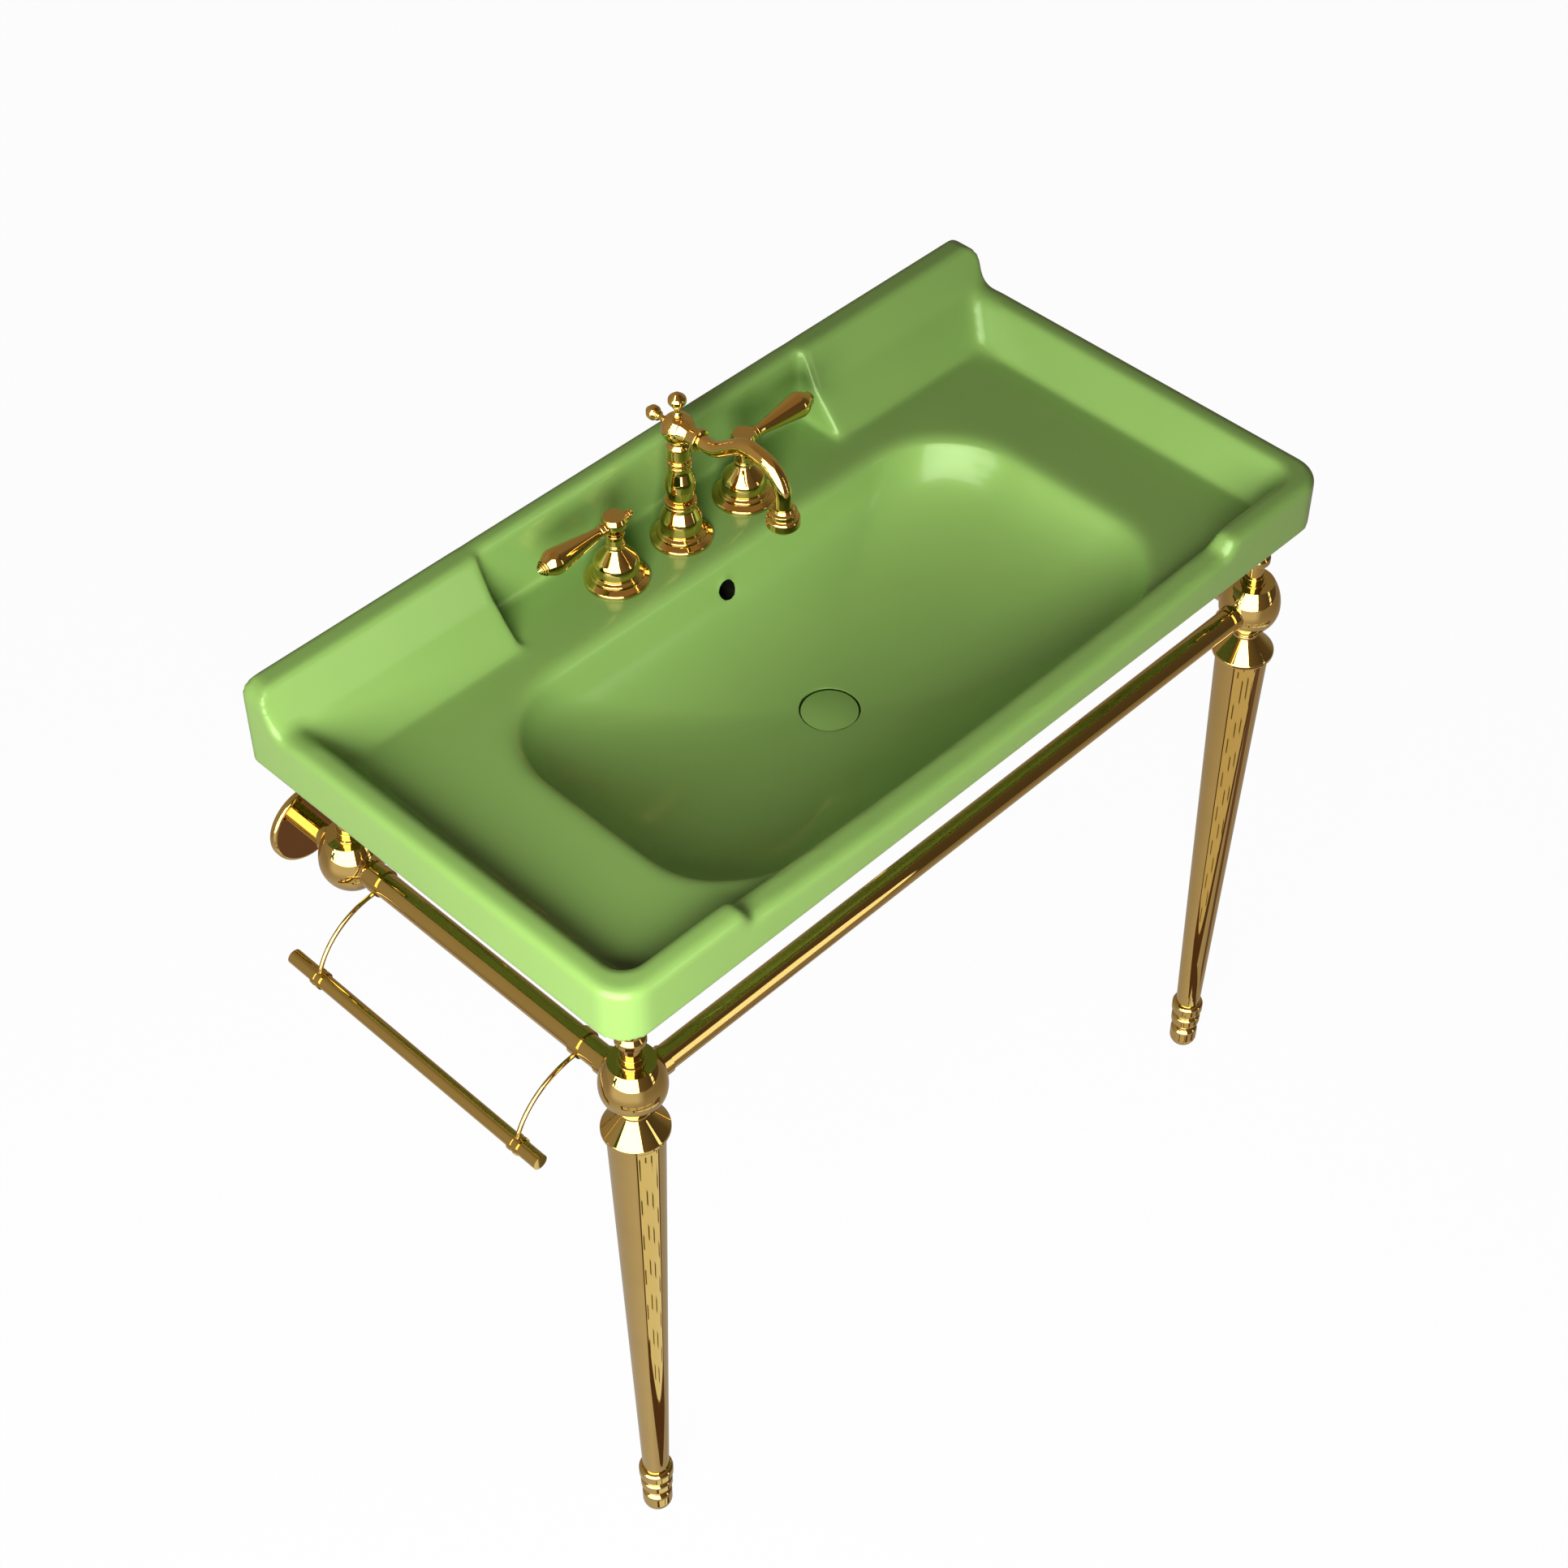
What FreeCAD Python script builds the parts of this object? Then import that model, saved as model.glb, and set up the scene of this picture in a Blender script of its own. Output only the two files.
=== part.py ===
import FreeCAD, Part
import math
import os

from FreeCAD import Vector

# Console sink: a glazed ceramic basin with an upstand, carried by two turned brass legs and the wall.
# Millimetres. +Z is up, +Y points into the wall, +X is to the right of someone facing the wall.
# Origin: midway between the two wall-bolt holes, on the basin's rear face (the wall plane is y = 0).

# ------------------------------------------------------------------------------------------ fits
fit_gap = 0.05            # radial gap of a fixed tube, rod or thread in its bore
swivel_gap = 0.06         # radial running gap of a turning or sliding pin in its bore
seat_gap = 0.3            # face gap between a moving piece and the piece under it

# ------------------------------------------------------------------------------------------ basin
basin_width = 1000.0
basin_depth = 515.0
deck_z = 47.0             # tray floor above the wall bolts
apron_drop = 17.5         # tray floor down to the apron's lower edge
rim_rise = 45.0           # tray floor up to the rim
upstand_rise = 86.0       # tray floor up to the top of the upstand
apron_wall = 12.0
deck_wall = 10.0
bowl_wall = 11.0
front_corner_r = 36.0
rim_round = 9.5
tray_foot_r = 5.0
upstand_end_round = 20.0

side_rim = 24.0           # rim width at its top
side_foot = 52.5          # rim width at the tray floor
front_rim = 26.0
front_foot = 37.0
tray_corner_r = 24.0

dip_half_length = 336.0   # lowered middle of the front rim
dip_end_drop = 16.0
dip_middle_drop = 29.0
dip_nose_r = 10.0
dip_foot_r = 9.0
dip_nose_run = 11.0

upstand_top = 25.0        # upstand thickness at its top
upstand_foot = 45.0       # its thickness at rim height
shoulder_foot = 84.0      # depth of the two shoulder blocks at the tray floor
shoulder_start = 226.0    # half the width of the faucet bay between the blocks
bay_wall = 21.0           # upstand thickness in the faucet bay
upstand_front_r = 9.0
upstand_back_r = 3.0
shoulder_bend_r = 28.0

bowl_half_length = 329.5
bowl_front = 472.0        # bowl lip, measured from the wall
bowl_back = 131.5
bowl_corner_r = 100.0
bowl_depth = 104.0

drain_from_wall = 286.0
drain_hole_r = 22.5
drain_recess_r = 30.5
drain_recess_depth = 6.5
drain_boss_r = 38.0
drain_boss_length = 24.0

overflow_drop = 32.0      # tray floor down to the overflow hole's axis
overflow_hole_r = 8.5
duct_width = 28.0
duct_depth = 13.0
duct_wall = 8.0
duct_back = 112.0         # rear side of the overflow duct, measured from the wall

wall_bolt_spacing = 280.0
wall_bolt_hole_r = 7.0
lug_thickness = 16.0      # wall-bolt lug under the deck
lug_half_length = 190.0
lug_below_bolts = 25.0

tap_spacing = 90.8        # handle axis to spout axis
tap_from_wall = 74.0
tap_hole_r = 17.5

# ------------------------------------------------------------------------------------------ frame
post_side = 454.3         # post and leg axes, left and right of the middle
front_post_from_wall = 472.9
rear_post_from_wall = 72.6
post_height = 84.0        # top of a corner ball up to the apron's lower edge
pad_thickness = 1.5
pad_r = 19.0
landing_r = 27.0

ball_r = 32.9
ball_top_rise = 33.15     # rail axis up to the ball's flat top
ball_flat_r = 23.3
ball_base_drop = 31.35    # rail axis down to the ball's foot
ball_base_r = 13.0

rail_r = 13.2
rail_wall = 1.5
rail_end = 22.0           # ball axis to the end of a rail
socket_r = 14.7
socket_start = 20.0       # ball axis to the inner end of a rail socket
socket_end = 39.5
wall_tube_r = 11.4
wall_tube_wall = 1.4
collar_r = 13.6
collar_length = 5.0

flange_r = 43.6
flange_thickness = 7.5
flange_round = 3.0
flange_skin = 2.0
plate_r = 36.0
plate_thickness = 3.0
plate_spigot_length = 24.0
plate_hole_circle_r = 27.0
plate_hole_r = 2.6

stud_r = 4.0
post_washer_r = 13.8
post_washer_height = 1.5
post_collar_r = 11.6
post_collar_height = 9.5
post_tube_r = 10.2
post_top = 60.0
cup_start = 26.5          # ball top up to the turned cup under the basin
cup_bead_r = 15.1
cup_bead_height = 9.0
cup_neck_r = 11.8
cup_flange_r = 20.0
cup_flange_height = 3.5

leg_cap_height = 38.0
leg_cap_neck_r = 12.7
leg_cap_ring_r = 14.6
leg_cap_r = 33.5
leg_top_r = 28.6
leg_bottom_r = 14.3
leg_length = 590.0
leg_wall = 1.6
leg_spigot_length = 12.0
foot_height = 78.0
foot_bead_r = 18.6
foot_second_bead_r = 17.3
foot_groove_r = 14.5
foot_neck_r = 10.5
foot_ball_r = 16.2

# ------------------------------------------------------------------------------------------ towel bar
bar_r = 8.0
bar_side = 541.0          # bar axis, left of the middle
bar_below_rails = 72.85
bar_front_from_wall = 436.0
bar_back_from_wall = 77.0
front_arm_from_wall = 405.0
rear_arm_from_wall = 118.0
arm_rod_r = 2.3
arm_ring_r = 15.2
arm_ring_width = 11.0
arm_collar_r = 9.6
arm_collar_width = 12.0

# ------------------------------------------------------------------------------------------ faucet
base_r = 32.6             # spout escutcheon
handle_base_r = 33.7
base_dome_r = 21.9
handle_dome_r = 23.8
base_height = 52.0
handle_base_height = 61.7
handle_neck_r = 8.8
ring_r = 16.8             # ring pair on top of the spout escutcheon
column_r = 15.8
column_top_r = 11.4
column_ring_r = 12.8
column_bulb_r = 12.3
column_height = 124.3     # deck up to the swivel seat
swivel_pin_r = 6.5
swivel_pin_length = 10.0
water_bore_r = 4.5

head_r = 17.3             # ball head of the spout
head_rise = 141.5         # deck up to the ball head's centre
spout_rise = 143.0        # deck up to the spout's first straight
spout_neck_reach = 33.5   # spout axis to the flared neck's face
spout_neck_r = 9.6
spout_flare_r = 12.2
spout_start_r = 8.1
spout_end_r = 8.7
spout_wall = 1.6
spout_reach = 146.0       # column axis to outlet axis
spout_first_bend = 52.0
spout_crest = 95.5
spout_crest_rise = 31.5
spout_turn_rise = 23.0
spout_bend_r = 34.0
aerator_ring_r = 14.1
aerator_r = 17.1
aerator_height = 25.0
aerator_drop = 41.5       # spout's first straight down to the outlet's lower face
aerator_mouth_r = 10.5

finial_knob_r = 9.4
finial_length = 28.0
rear_knob_r = 7.9
rear_finial_length = 28.5
finial_seat_r = 5.4
finial_neck_r = 3.2
finial_pin_r = 2.6
finial_pin_length = 6.0

shank_r = 16.0            # threaded shank through a tap hole
shank_length = 28.0
washer_r = 26.0
washer_thickness = 3.0
deck_nut_flats = 44.0
deck_nut_height = 10.0
inlet_r = 10.4            # G 1/2 male inlet thread
inlet_length = 30.0
mixing_drop = 38.0        # deck down to the mixing pipes' axis
mixing_pipe_r = 5.0
mixing_boss_r = 8.5
mixing_boss_reach = 22.0
riser_r = 8.0             # tube that rises from the spout shank into the column
body_top_r = 14.5
body_top_rise = 27.0

stem_r = 5.0
stem_foot_rise = 8.0
stem_top_rise = 77.0
hub_start_rise = 62.0
hub_r = 13.3
hub_top_r = 11.2
hub_top_rise = 83.0
lever_rise = 73.5
lever_pin_r = 4.5
lever_start = 8.0
lever_root = 12.6
lever_neck_r = 6.1
ferrule_r = 7.3
button_root_r = 6.2
lever_r = 14.8
lever_widest = 83.0
lever_length = 102.0
button_reach = 24.0
button_r = 5.2

# ------------------------------------------------------------------------------------------ waste
waste_r = 20.95           # G 1 1/4 thread
waste_bore_r = 18.0
waste_flange_r = 29.5
waste_flange_thickness = 2.0
waste_length = 64.0
waste_slot_width = 20.0
waste_slot_height = 9.0
guide_drop = 18.0         # flange top down to the guide bridge
guide_height = 8.0
guide_r = 8.0
guide_bar = 5.0
cap_r = 29.8
cap_height = 3.4          # cap's edge
cap_dome = 2.8
cap_stem_r = 4.0
cap_travel = 8.0
cap_stop_r = 6.5
cap_stop_height = 3.0
gasket_r = 33.0
gasket_thickness = 4.0
waste_nut_flats = 58.0
waste_nut_height = 12.0
tail_r = 16.0
tail_wall = 1.2
tail_spigot_r = 15.6
tail_length = 98.0        # below the waste
tail_socket = 14.0

# ------------------------------------------------------------------------------------------ levels
rim_z = deck_z + rim_rise
upstand_z = deck_z + upstand_rise
apron_z = deck_z - apron_drop
deck_under_z = deck_z - deck_wall
bowl_floor_z = deck_z - bowl_depth
ball_top_z = apron_z - post_height
rail_z = ball_top_z - ball_top_rise
ball_base_z = rail_z - ball_base_drop
leg_top_z = ball_base_z - leg_cap_height
leg_base_z = leg_top_z - leg_length
bar_z = rail_z - bar_below_rails
recess_z = bowl_floor_z - drain_recess_depth
flange_top_z = recess_z + waste_flange_thickness
boss_z = bowl_floor_z - drain_boss_length - bowl_wall
cap_stem_length = guide_drop + guide_height + cap_travel + cap_stop_height + 2 * seat_gap

SIDES = {"left": -1, "right": 1}
ENDS = {"front": front_post_from_wall, "rear": rear_post_from_wall}


# ------------------------------------------------------------------------------------------ helpers
def front_view(across, up):
    return Vector(across, 0, up)


def side_view(along, up):
    return Vector(0, along, up)


def top_view(across, along):
    return Vector(across, along, 0)


def corner_reaches(corners):
    """How far each corner's arc runs along its two sides, cut down where two arcs would share a side."""
    count = len(corners)
    points = [Vector(corner[0], corner[1], 0) for corner in corners]
    reaches = []
    for index, corner in enumerate(corners):
        back = points[index - 1] - points[index]
        ahead = points[(index + 1) % count] - points[index]
        radius = corner[2] if len(corner) == 3 else 0
        reaches.append(radius / math.tan(back.getAngle(ahead) / 2))
    shares = []
    for index in range(count):
        side = (points[(index + 1) % count] - points[index]).Length
        wanted = reaches[index] + reaches[(index + 1) % count]
        shares.append(min(1, 0.98 * side / wanted) if wanted > 0 else 1)
    return [reaches[index] * min(shares[index], shares[index - 1]) for index in range(count)]


def outline(corners, place):
    """Closed wire through (u, v) or (u, v, radius) corners, mapped into space by place(u, v)."""
    count = len(corners)
    points = [Vector(corner[0], corner[1], 0) for corner in corners]
    reaches = corner_reaches(corners)
    edges = []
    here = None
    first = None
    for index in range(count):
        back = (points[index - 1] - points[index]).normalize()
        ahead = (points[(index + 1) % count] - points[index]).normalize()
        reach = reaches[index]
        start = points[index] + back * reach
        end = points[index] + ahead * reach
        if here is not None and (start - here).Length > 1e-6:
            edges.append(Part.LineSegment(place(here.x, here.y), place(start.x, start.y)).toShape())
        if reach > 1e-6:
            half = back.getAngle(ahead) / 2
            to_arc = reach / math.cos(half) - reach * math.tan(half)
            middle = points[index] + (back + ahead).normalize() * to_arc
            arc = Part.Arc(place(start.x, start.y), place(middle.x, middle.y), place(end.x, end.y))
            edges.append(arc.toShape())
        if first is None:
            first = start
        here = end
    edges.append(Part.LineSegment(place(here.x, here.y), place(first.x, first.y)).toShape())
    return Part.Wire(edges)


def turned(corners):
    """Solid turned about the Z axis from (radius, height) corners."""
    face = Part.Face(outline(corners, front_view))
    return face.revolve(Vector(0, 0, 0), Vector(0, 0, 1), 360)


def extruded(corners, place, direction):
    return Part.Face(outline(corners, place)).extrude(direction)


def rod(radius, start, end):
    """Round rod from one point to another."""
    span = end - start
    return Part.makeCylinder(radius, span.Length, start, span)


def tube(radius, wall, start, end):
    return rod(radius, start, end).cut(rod(radius - wall, start, end))


def block(low, high):
    size = high - low
    return Part.makeBox(size.x, size.y, size.z, low)


def aimed(shape, direction):
    """A shape made along +Z, turned to lie along direction."""
    turn = FreeCAD.Rotation(Vector(0, 0, 1), direction)
    return shape.transformed(FreeCAD.Placement(Vector(0, 0, 0), turn).toMatrix())


def moved(shape, offset):
    copy = shape.copy()
    copy.translate(offset)
    return copy


def hexagon(flats, bore_r, height):
    """Hexagonal nut along +Z, seated on z = 0, with its corners turned down."""
    corner_r = flats / math.sqrt(3)
    points = []
    for step in range(6):
        angle = math.radians(60 * step)
        points.append((corner_r * math.cos(angle), corner_r * math.sin(angle)))
    nut = extruded(points, top_view, Vector(0, 0, height))
    chamfer = (corner_r - flats / 2) / 2
    trim = turned([(0, 0), (corner_r - chamfer, 0), (corner_r, chamfer),
                   (corner_r, height - chamfer), (corner_r - chamfer, height), (0, height)])
    return nut.common(trim).cut(rod(bore_r, Vector(0, 0, -1), Vector(0, 0, height + 1)))


def rounded_rectangle(half_width, front, back, radius, height):
    """Closed wire at one height, from y = -front to y = -back, with four equal corner arcs."""
    corners = [(-half_width, -front, radius), (half_width, -front, radius),
               (half_width, -back, radius), (-half_width, -back, radius)]
    wire = outline(corners, top_view)
    wire.translate(Vector(0, 0, height))
    return wire


# ------------------------------------------------------------------------------------------ basin
def prism_across(profile, start, end):
    """Side profile of (along, up) corners, drawn out from x = start to x = end."""
    return moved(extruded(profile, side_view, Vector(end - start, 0, 0)), Vector(start, 0, 0))


def tray_hollow():
    """The hollow above the tray floor, with drafted side and front walls and no back wall."""
    half = basin_width / 2
    past_wall = -tray_corner_r * 2
    foot = rounded_rectangle(half - side_foot, basin_depth - front_foot, past_wall, tray_corner_r, deck_z)
    top = rounded_rectangle(half - side_rim, basin_depth - front_rim, past_wall, tray_corner_r, rim_z)
    above = Part.Face(top).extrude(Vector(0, 0, 5))
    return Part.makeLoft([foot, top], True, True).fuse(above)


def front_dip():
    """Lowered middle of the front rim: a shallow arc between two rounded noses."""
    start = dip_half_length + dip_nose_run
    past = start + 30
    corners = [(-past, rim_z), (-start, rim_z, dip_nose_r), (-dip_half_length, rim_z - dip_end_drop, dip_foot_r),
               (0, rim_z - 2 * dip_middle_drop + dip_end_drop, 10 * basin_width),
               (dip_half_length, rim_z - dip_end_drop, dip_foot_r), (start, rim_z, dip_nose_r),
               (past, rim_z), (past, rim_z + 20), (-past, rim_z + 20)]
    prism = extruded(corners, front_view, Vector(0, -front_foot - 20, 0))
    return moved(prism, Vector(0, -basin_depth + front_foot + 10, 0))


def is_rim_edge(edge):
    """True for the outer and inner top edges of the rim, not for lines that cross it."""
    box = edge.BoundBox
    at_back = box.YMin > -0.01
    across_rim = box.XLength < 0.01 and abs(box.XMax) < dip_half_length + 2 * dip_nose_run
    return box.ZMin > rim_z - dip_middle_drop - 0.5 and not at_back and not across_rim


def is_tray_foot(edge):
    box = edge.BoundBox
    return abs(box.ZMin - deck_z) < 0.01 and abs(box.ZMax - deck_z) < 0.01 and box.YMin < -0.01


def rim_block():
    """Apron and rim round three sides of the tray, with the lowered front and all edges rounded."""
    half = basin_width / 2
    corners = [(-half, 0), (-half, -basin_depth, front_corner_r), (half, -basin_depth, front_corner_r), (half, 0)]
    solid = moved(extruded(corners, top_view, Vector(0, 0, rim_z - apron_z)), Vector(0, 0, apron_z))
    solid = solid.cut(tray_hollow()).cut(front_dip()).removeSplitter()
    solid = solid.makeFillet(rim_round, [edge for edge in solid.Edges if is_rim_edge(edge)])
    return solid.makeFillet(tray_foot_r, [edge for edge in solid.Edges if is_tray_foot(edge)])


def upstand():
    """Wall along the back: full-width top, sloping shoulders, and a faucet bay between them."""
    half = basin_width / 2
    top = [(0, apron_z), (0, upstand_z, upstand_back_r), (-upstand_top, upstand_z, upstand_front_r),
           (-upstand_foot, rim_z, shoulder_bend_r), (-upstand_foot - rim_round, rim_z - rim_round / 2),
           (-upstand_foot - rim_round, apron_z)]
    slope = [(0, apron_z), (0, upstand_z, upstand_back_r), (-upstand_top, upstand_z, upstand_front_r),
             (-upstand_foot, rim_z, shoulder_bend_r), (-shoulder_foot, deck_z), (-shoulder_foot, apron_z)]
    bay = [(0, apron_z), (0, upstand_z, upstand_back_r), (-bay_wall, upstand_z, upstand_front_r),
           (-bay_wall, deck_z, tray_foot_r), (-2 * bay_wall, deck_z), (-2 * bay_wall, apron_z)]
    inside_rim = half - side_rim + rim_round
    wall = prism_across(bay, -shoulder_start - 1, shoulder_start + 1)
    for side in SIDES.values():
        wall = wall.fuse(prism_across(slope, side * shoulder_start, side * inside_rim))
        wall = wall.fuse(prism_across(top, side * (inside_rim - 1), side * half))
    ends = [(-half, apron_z), (-half, upstand_z, upstand_end_round),
            (half, upstand_z, upstand_end_round), (half, apron_z)]
    return wall.common(extruded(ends, front_view, Vector(0, -basin_depth, 0)))


def bowl_sections(wall):
    """Level outlines of the bowl, elliptical in depth from lip to floor; wall grows them outward."""
    middle = (bowl_front + bowl_back) / 2
    half_across = (bowl_front - bowl_back) / 2
    lip_share = bowl_corner_r / half_across
    wires = []
    for angle in (0, 12, 24, 36, 48, 60, 70, 78, 84):
        spread = math.cos(math.radians(angle))
        centre = drain_from_wall + (middle - drain_from_wall) * spread
        along = bowl_half_length * spread + wall
        across = half_across * spread + wall
        radius = across * (lip_share + (0.98 - lip_share) * (1 - spread))
        height = deck_z - bowl_depth * math.sin(math.radians(angle)) - wall
        wires.append(rounded_rectangle(along, centre + across, centre - across, radius, height))
    return wires


def bowl_hollow():
    wires = bowl_sections(0)
    above = Part.Face(wires[0]).extrude(Vector(0, 0, 1))
    return Part.makeLoft(wires, True, False).fuse(above)


def bowl_shell():
    """Outside of the bowl, reaching up into the deck."""
    wires = bowl_sections(bowl_wall)
    neck = Part.Face(wires[0]).extrude(Vector(0, 0, bowl_wall - deck_wall / 2))
    return Part.makeLoft(wires, True, False).fuse(neck)


def overflow_duct():
    """Outside of the overflow channel: a shaft behind the bowl and a level run under it to the drain."""
    half = duct_width / 2 + duct_wall
    back = -duct_back + duct_wall
    front = -duct_back - duct_depth - duct_wall
    shaft = block(Vector(-half, front, boss_z), Vector(half, back, deck_under_z))
    run_top = boss_z + duct_depth + 2 * duct_wall
    return shaft.fuse(block(Vector(-half, -drain_from_wall, boss_z), Vector(half, back, run_top)))


def overflow_hollow():
    """Inside of the overflow channel and its round hole through the bowl's rear wall."""
    half = duct_width / 2
    low = boss_z + duct_wall
    hole_z = deck_z - overflow_drop
    shaft = block(Vector(-half, -duct_back - duct_depth, low),
                  Vector(half, -duct_back, hole_z + overflow_hole_r + 4))
    run = block(Vector(-half, -drain_from_wall, low), Vector(half, -duct_back, low + duct_depth))
    mouth = Vector(0, -bowl_back - bowl_depth / 4, hole_z)
    return shaft.fuse(run).fuse(rod(overflow_hole_r, mouth, Vector(0, -duct_back - duct_depth / 2, hole_z)))


def basin():
    half = basin_width / 2
    body = rim_block().fuse(upstand())
    pocket = block(Vector(-half + apron_wall, -basin_depth + apron_wall, apron_z - 1),
                   Vector(half - apron_wall, -apron_wall, deck_under_z))
    body = body.cut(pocket).fuse(bowl_shell()).fuse(overflow_duct())
    body = body.fuse(rod(drain_boss_r, Vector(0, -drain_from_wall, boss_z), Vector(0, -drain_from_wall, bowl_floor_z)))
    for side in SIDES.values():
        for distance in ENDS.values():
            foot = Vector(side * post_side, -distance, apron_z)
            body = body.fuse(rod(landing_r, foot, foot + Vector(0, 0, deck_under_z - apron_z)))
    lug = block(Vector(-lug_half_length, -lug_thickness, -lug_below_bolts), Vector(lug_half_length, 0, deck_under_z))
    body = body.fuse(lug).cut(bowl_hollow()).cut(overflow_hollow())
    for x in (-tap_spacing, 0, tap_spacing):
        hole = Vector(x, -tap_from_wall, deck_under_z - 1)
        body = body.cut(rod(tap_hole_r, hole, Vector(x, -tap_from_wall, deck_z + 1)))
    for side in SIDES.values():
        x = side * wall_bolt_spacing / 2
        body = body.cut(rod(wall_bolt_hole_r, Vector(x, 1, 0), Vector(x, -lug_thickness - 1, 0)))
    drain = Vector(0, -drain_from_wall, 0)
    body = body.cut(rod(drain_recess_r, drain + Vector(0, 0, recess_z), drain + Vector(0, 0, bowl_floor_z + 20)))
    body = body.cut(rod(drain_hole_r, drain + Vector(0, 0, boss_z - 1), drain + Vector(0, 0, recess_z + 1)))
    return body.removeSplitter()


# ------------------------------------------------------------------------------------------ corner balls
def bulge(inner_r, rise):
    """Radius of the arc that leaves the ball's equator upright and reaches inner_r after rise."""
    run = ball_r - inner_r
    return (rise * rise + run * run) / (2 * run)


def ball_body():
    """Turned ball, flat on top, on the rail axis at z = 0."""
    edges = []
    foot = Vector(ball_base_r, 0, -ball_base_drop)
    equator = Vector(ball_r, 0, 0)
    crown = Vector(ball_flat_r, 0, ball_top_rise)
    for end, sign, rise in ((foot, -1, ball_base_drop), (crown, 1, ball_top_rise)):
        radius = bulge(end.x, rise)
        half = math.asin(rise / radius) / 2
        middle = Vector(ball_r - radius + radius * math.cos(half), 0, sign * radius * math.sin(half))
        edges.append(Part.Arc(equator, middle, end).toShape())
    edges.append(Part.LineSegment(crown, Vector(0, 0, ball_top_rise)).toShape())
    edges.append(Part.LineSegment(Vector(0, 0, ball_top_rise), Vector(0, 0, -ball_base_drop)).toShape())
    edges.append(Part.LineSegment(Vector(0, 0, -ball_base_drop), foot).toShape())
    wire = Part.Wire(Part.__sortEdges__(edges))
    return Part.Face(wire).revolve(Vector(0, 0, 0), Vector(0, 0, 1), 360)


def ball(bores, has_leg):
    """Corner ball with side bores, given as (direction, radius), and bores for the studs."""
    body = ball_body()
    for direction, radius in bores:
        body = body.cut(rod(radius + fit_gap, direction * socket_start, direction * 2 * ball_r))
    top = Vector(0, 0, ball_top_rise + 1)
    body = body.cut(rod(stud_r + fit_gap, Vector(0, 0, 2 * stud_r), top))
    if has_leg:
        body = body.cut(rod(stud_r + fit_gap, Vector(0, 0, -3 * stud_r), Vector(0, 0, -ball_base_drop - 1)))
    return body


def corner(side, end, height):
    return Vector(side * post_side, -ENDS[end], height)


def balls():
    made = {}
    for name, side in SIDES.items():
        across = Vector(-side, 0, 0)
        front = ball([(across, socket_r), (Vector(0, 1, 0), socket_r)], True)
        rear = ball([(Vector(0, -1, 0), socket_r), (Vector(0, 1, 0), wall_tube_r)], False)
        made["front_" + name + "_ball"] = moved(front, corner(side, "front", rail_z))
        made["rear_" + name + "_ball"] = moved(rear, corner(side, "rear", rail_z))
    return made


# ------------------------------------------------------------------------------------------ rails
def rails():
    reach = post_side - rail_end
    front = tube(rail_r, rail_wall, Vector(-reach, -front_post_from_wall, rail_z),
                 Vector(reach, -front_post_from_wall, rail_z))
    made = {"front_rail": front}
    for name, side in SIDES.items():
        start = Vector(side * post_side, -front_post_from_wall + rail_end, rail_z)
        end = Vector(side * post_side, -rear_post_from_wall - rail_end, rail_z)
        made[name + "_rail"] = tube(rail_r, rail_wall, start, end)
    return made


def rail_sockets():
    """A sleeve round each end of each rail."""
    sleeve_wall = socket_r - rail_r - fit_gap
    sleeves = []
    for side in SIDES.values():
        places = [(corner(side, "front", rail_z), Vector(-side, 0, 0)),
                  (corner(side, "front", rail_z), Vector(0, 1, 0)),
                  (corner(side, "rear", rail_z), Vector(0, -1, 0))]
        for centre, direction in places:
            sleeves.append(tube(socket_r, sleeve_wall, centre + direction * socket_start,
                                centre + direction * socket_end))
    return Part.makeCompound(sleeves)


def wall_tube(side):
    start = Vector(side * post_side, -rear_post_from_wall + socket_start, rail_z)
    return tube(wall_tube_r, wall_tube_wall, start, Vector(side * post_side, -plate_thickness, rail_z))


def wall_tube_collars():
    """Ring on each wall tube, up against its ball."""
    wall = collar_r - wall_tube_r - fit_gap
    rings = []
    for side in SIDES.values():
        start = Vector(side * post_side, -rear_post_from_wall + ball_r, rail_z)
        rings.append(tube(collar_r, wall, start, start + Vector(0, collar_length, 0)))
    return Part.makeCompound(rings)


def wall_flange(side):
    """Round cover over the wall plate; a shallow cup with a hole for the wall tube."""
    bore = wall_tube_r + fit_gap
    cover = turned([(bore, flange_thickness - flange_skin), (flange_r - flange_skin, flange_thickness - flange_skin),
                    (flange_r - flange_skin, 0), (flange_r, 0), (flange_r, flange_thickness, flange_round),
                    (bore, flange_thickness)])
    return moved(aimed(cover, Vector(0, -1, 0)), Vector(side * post_side, 0, rail_z))


def wall_plate():
    """Screw plate on the wall with a spigot that the wall tube slides over."""
    disc = rod(plate_r, Vector(0, 0, 0), Vector(0, 0, plate_thickness))
    spigot_r = wall_tube_r - wall_tube_wall - fit_gap
    plate = disc.fuse(rod(spigot_r, Vector(0, 0, 0), Vector(0, 0, plate_spigot_length)))
    for step in range(3):
        angle = math.radians(90 + 120 * step)
        spot = Vector(plate_hole_circle_r * math.cos(angle), plate_hole_circle_r * math.sin(angle), 0)
        plate = plate.cut(rod(plate_hole_r, spot - Vector(0, 0, 1), spot + Vector(0, 0, plate_thickness + 1)))
    return aimed(plate, Vector(0, -1, 0))


def wall_plates():
    plates = [moved(wall_plate(), Vector(side * post_side, 0, rail_z)) for side in SIDES.values()]
    return Part.makeCompound(plates)


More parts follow.
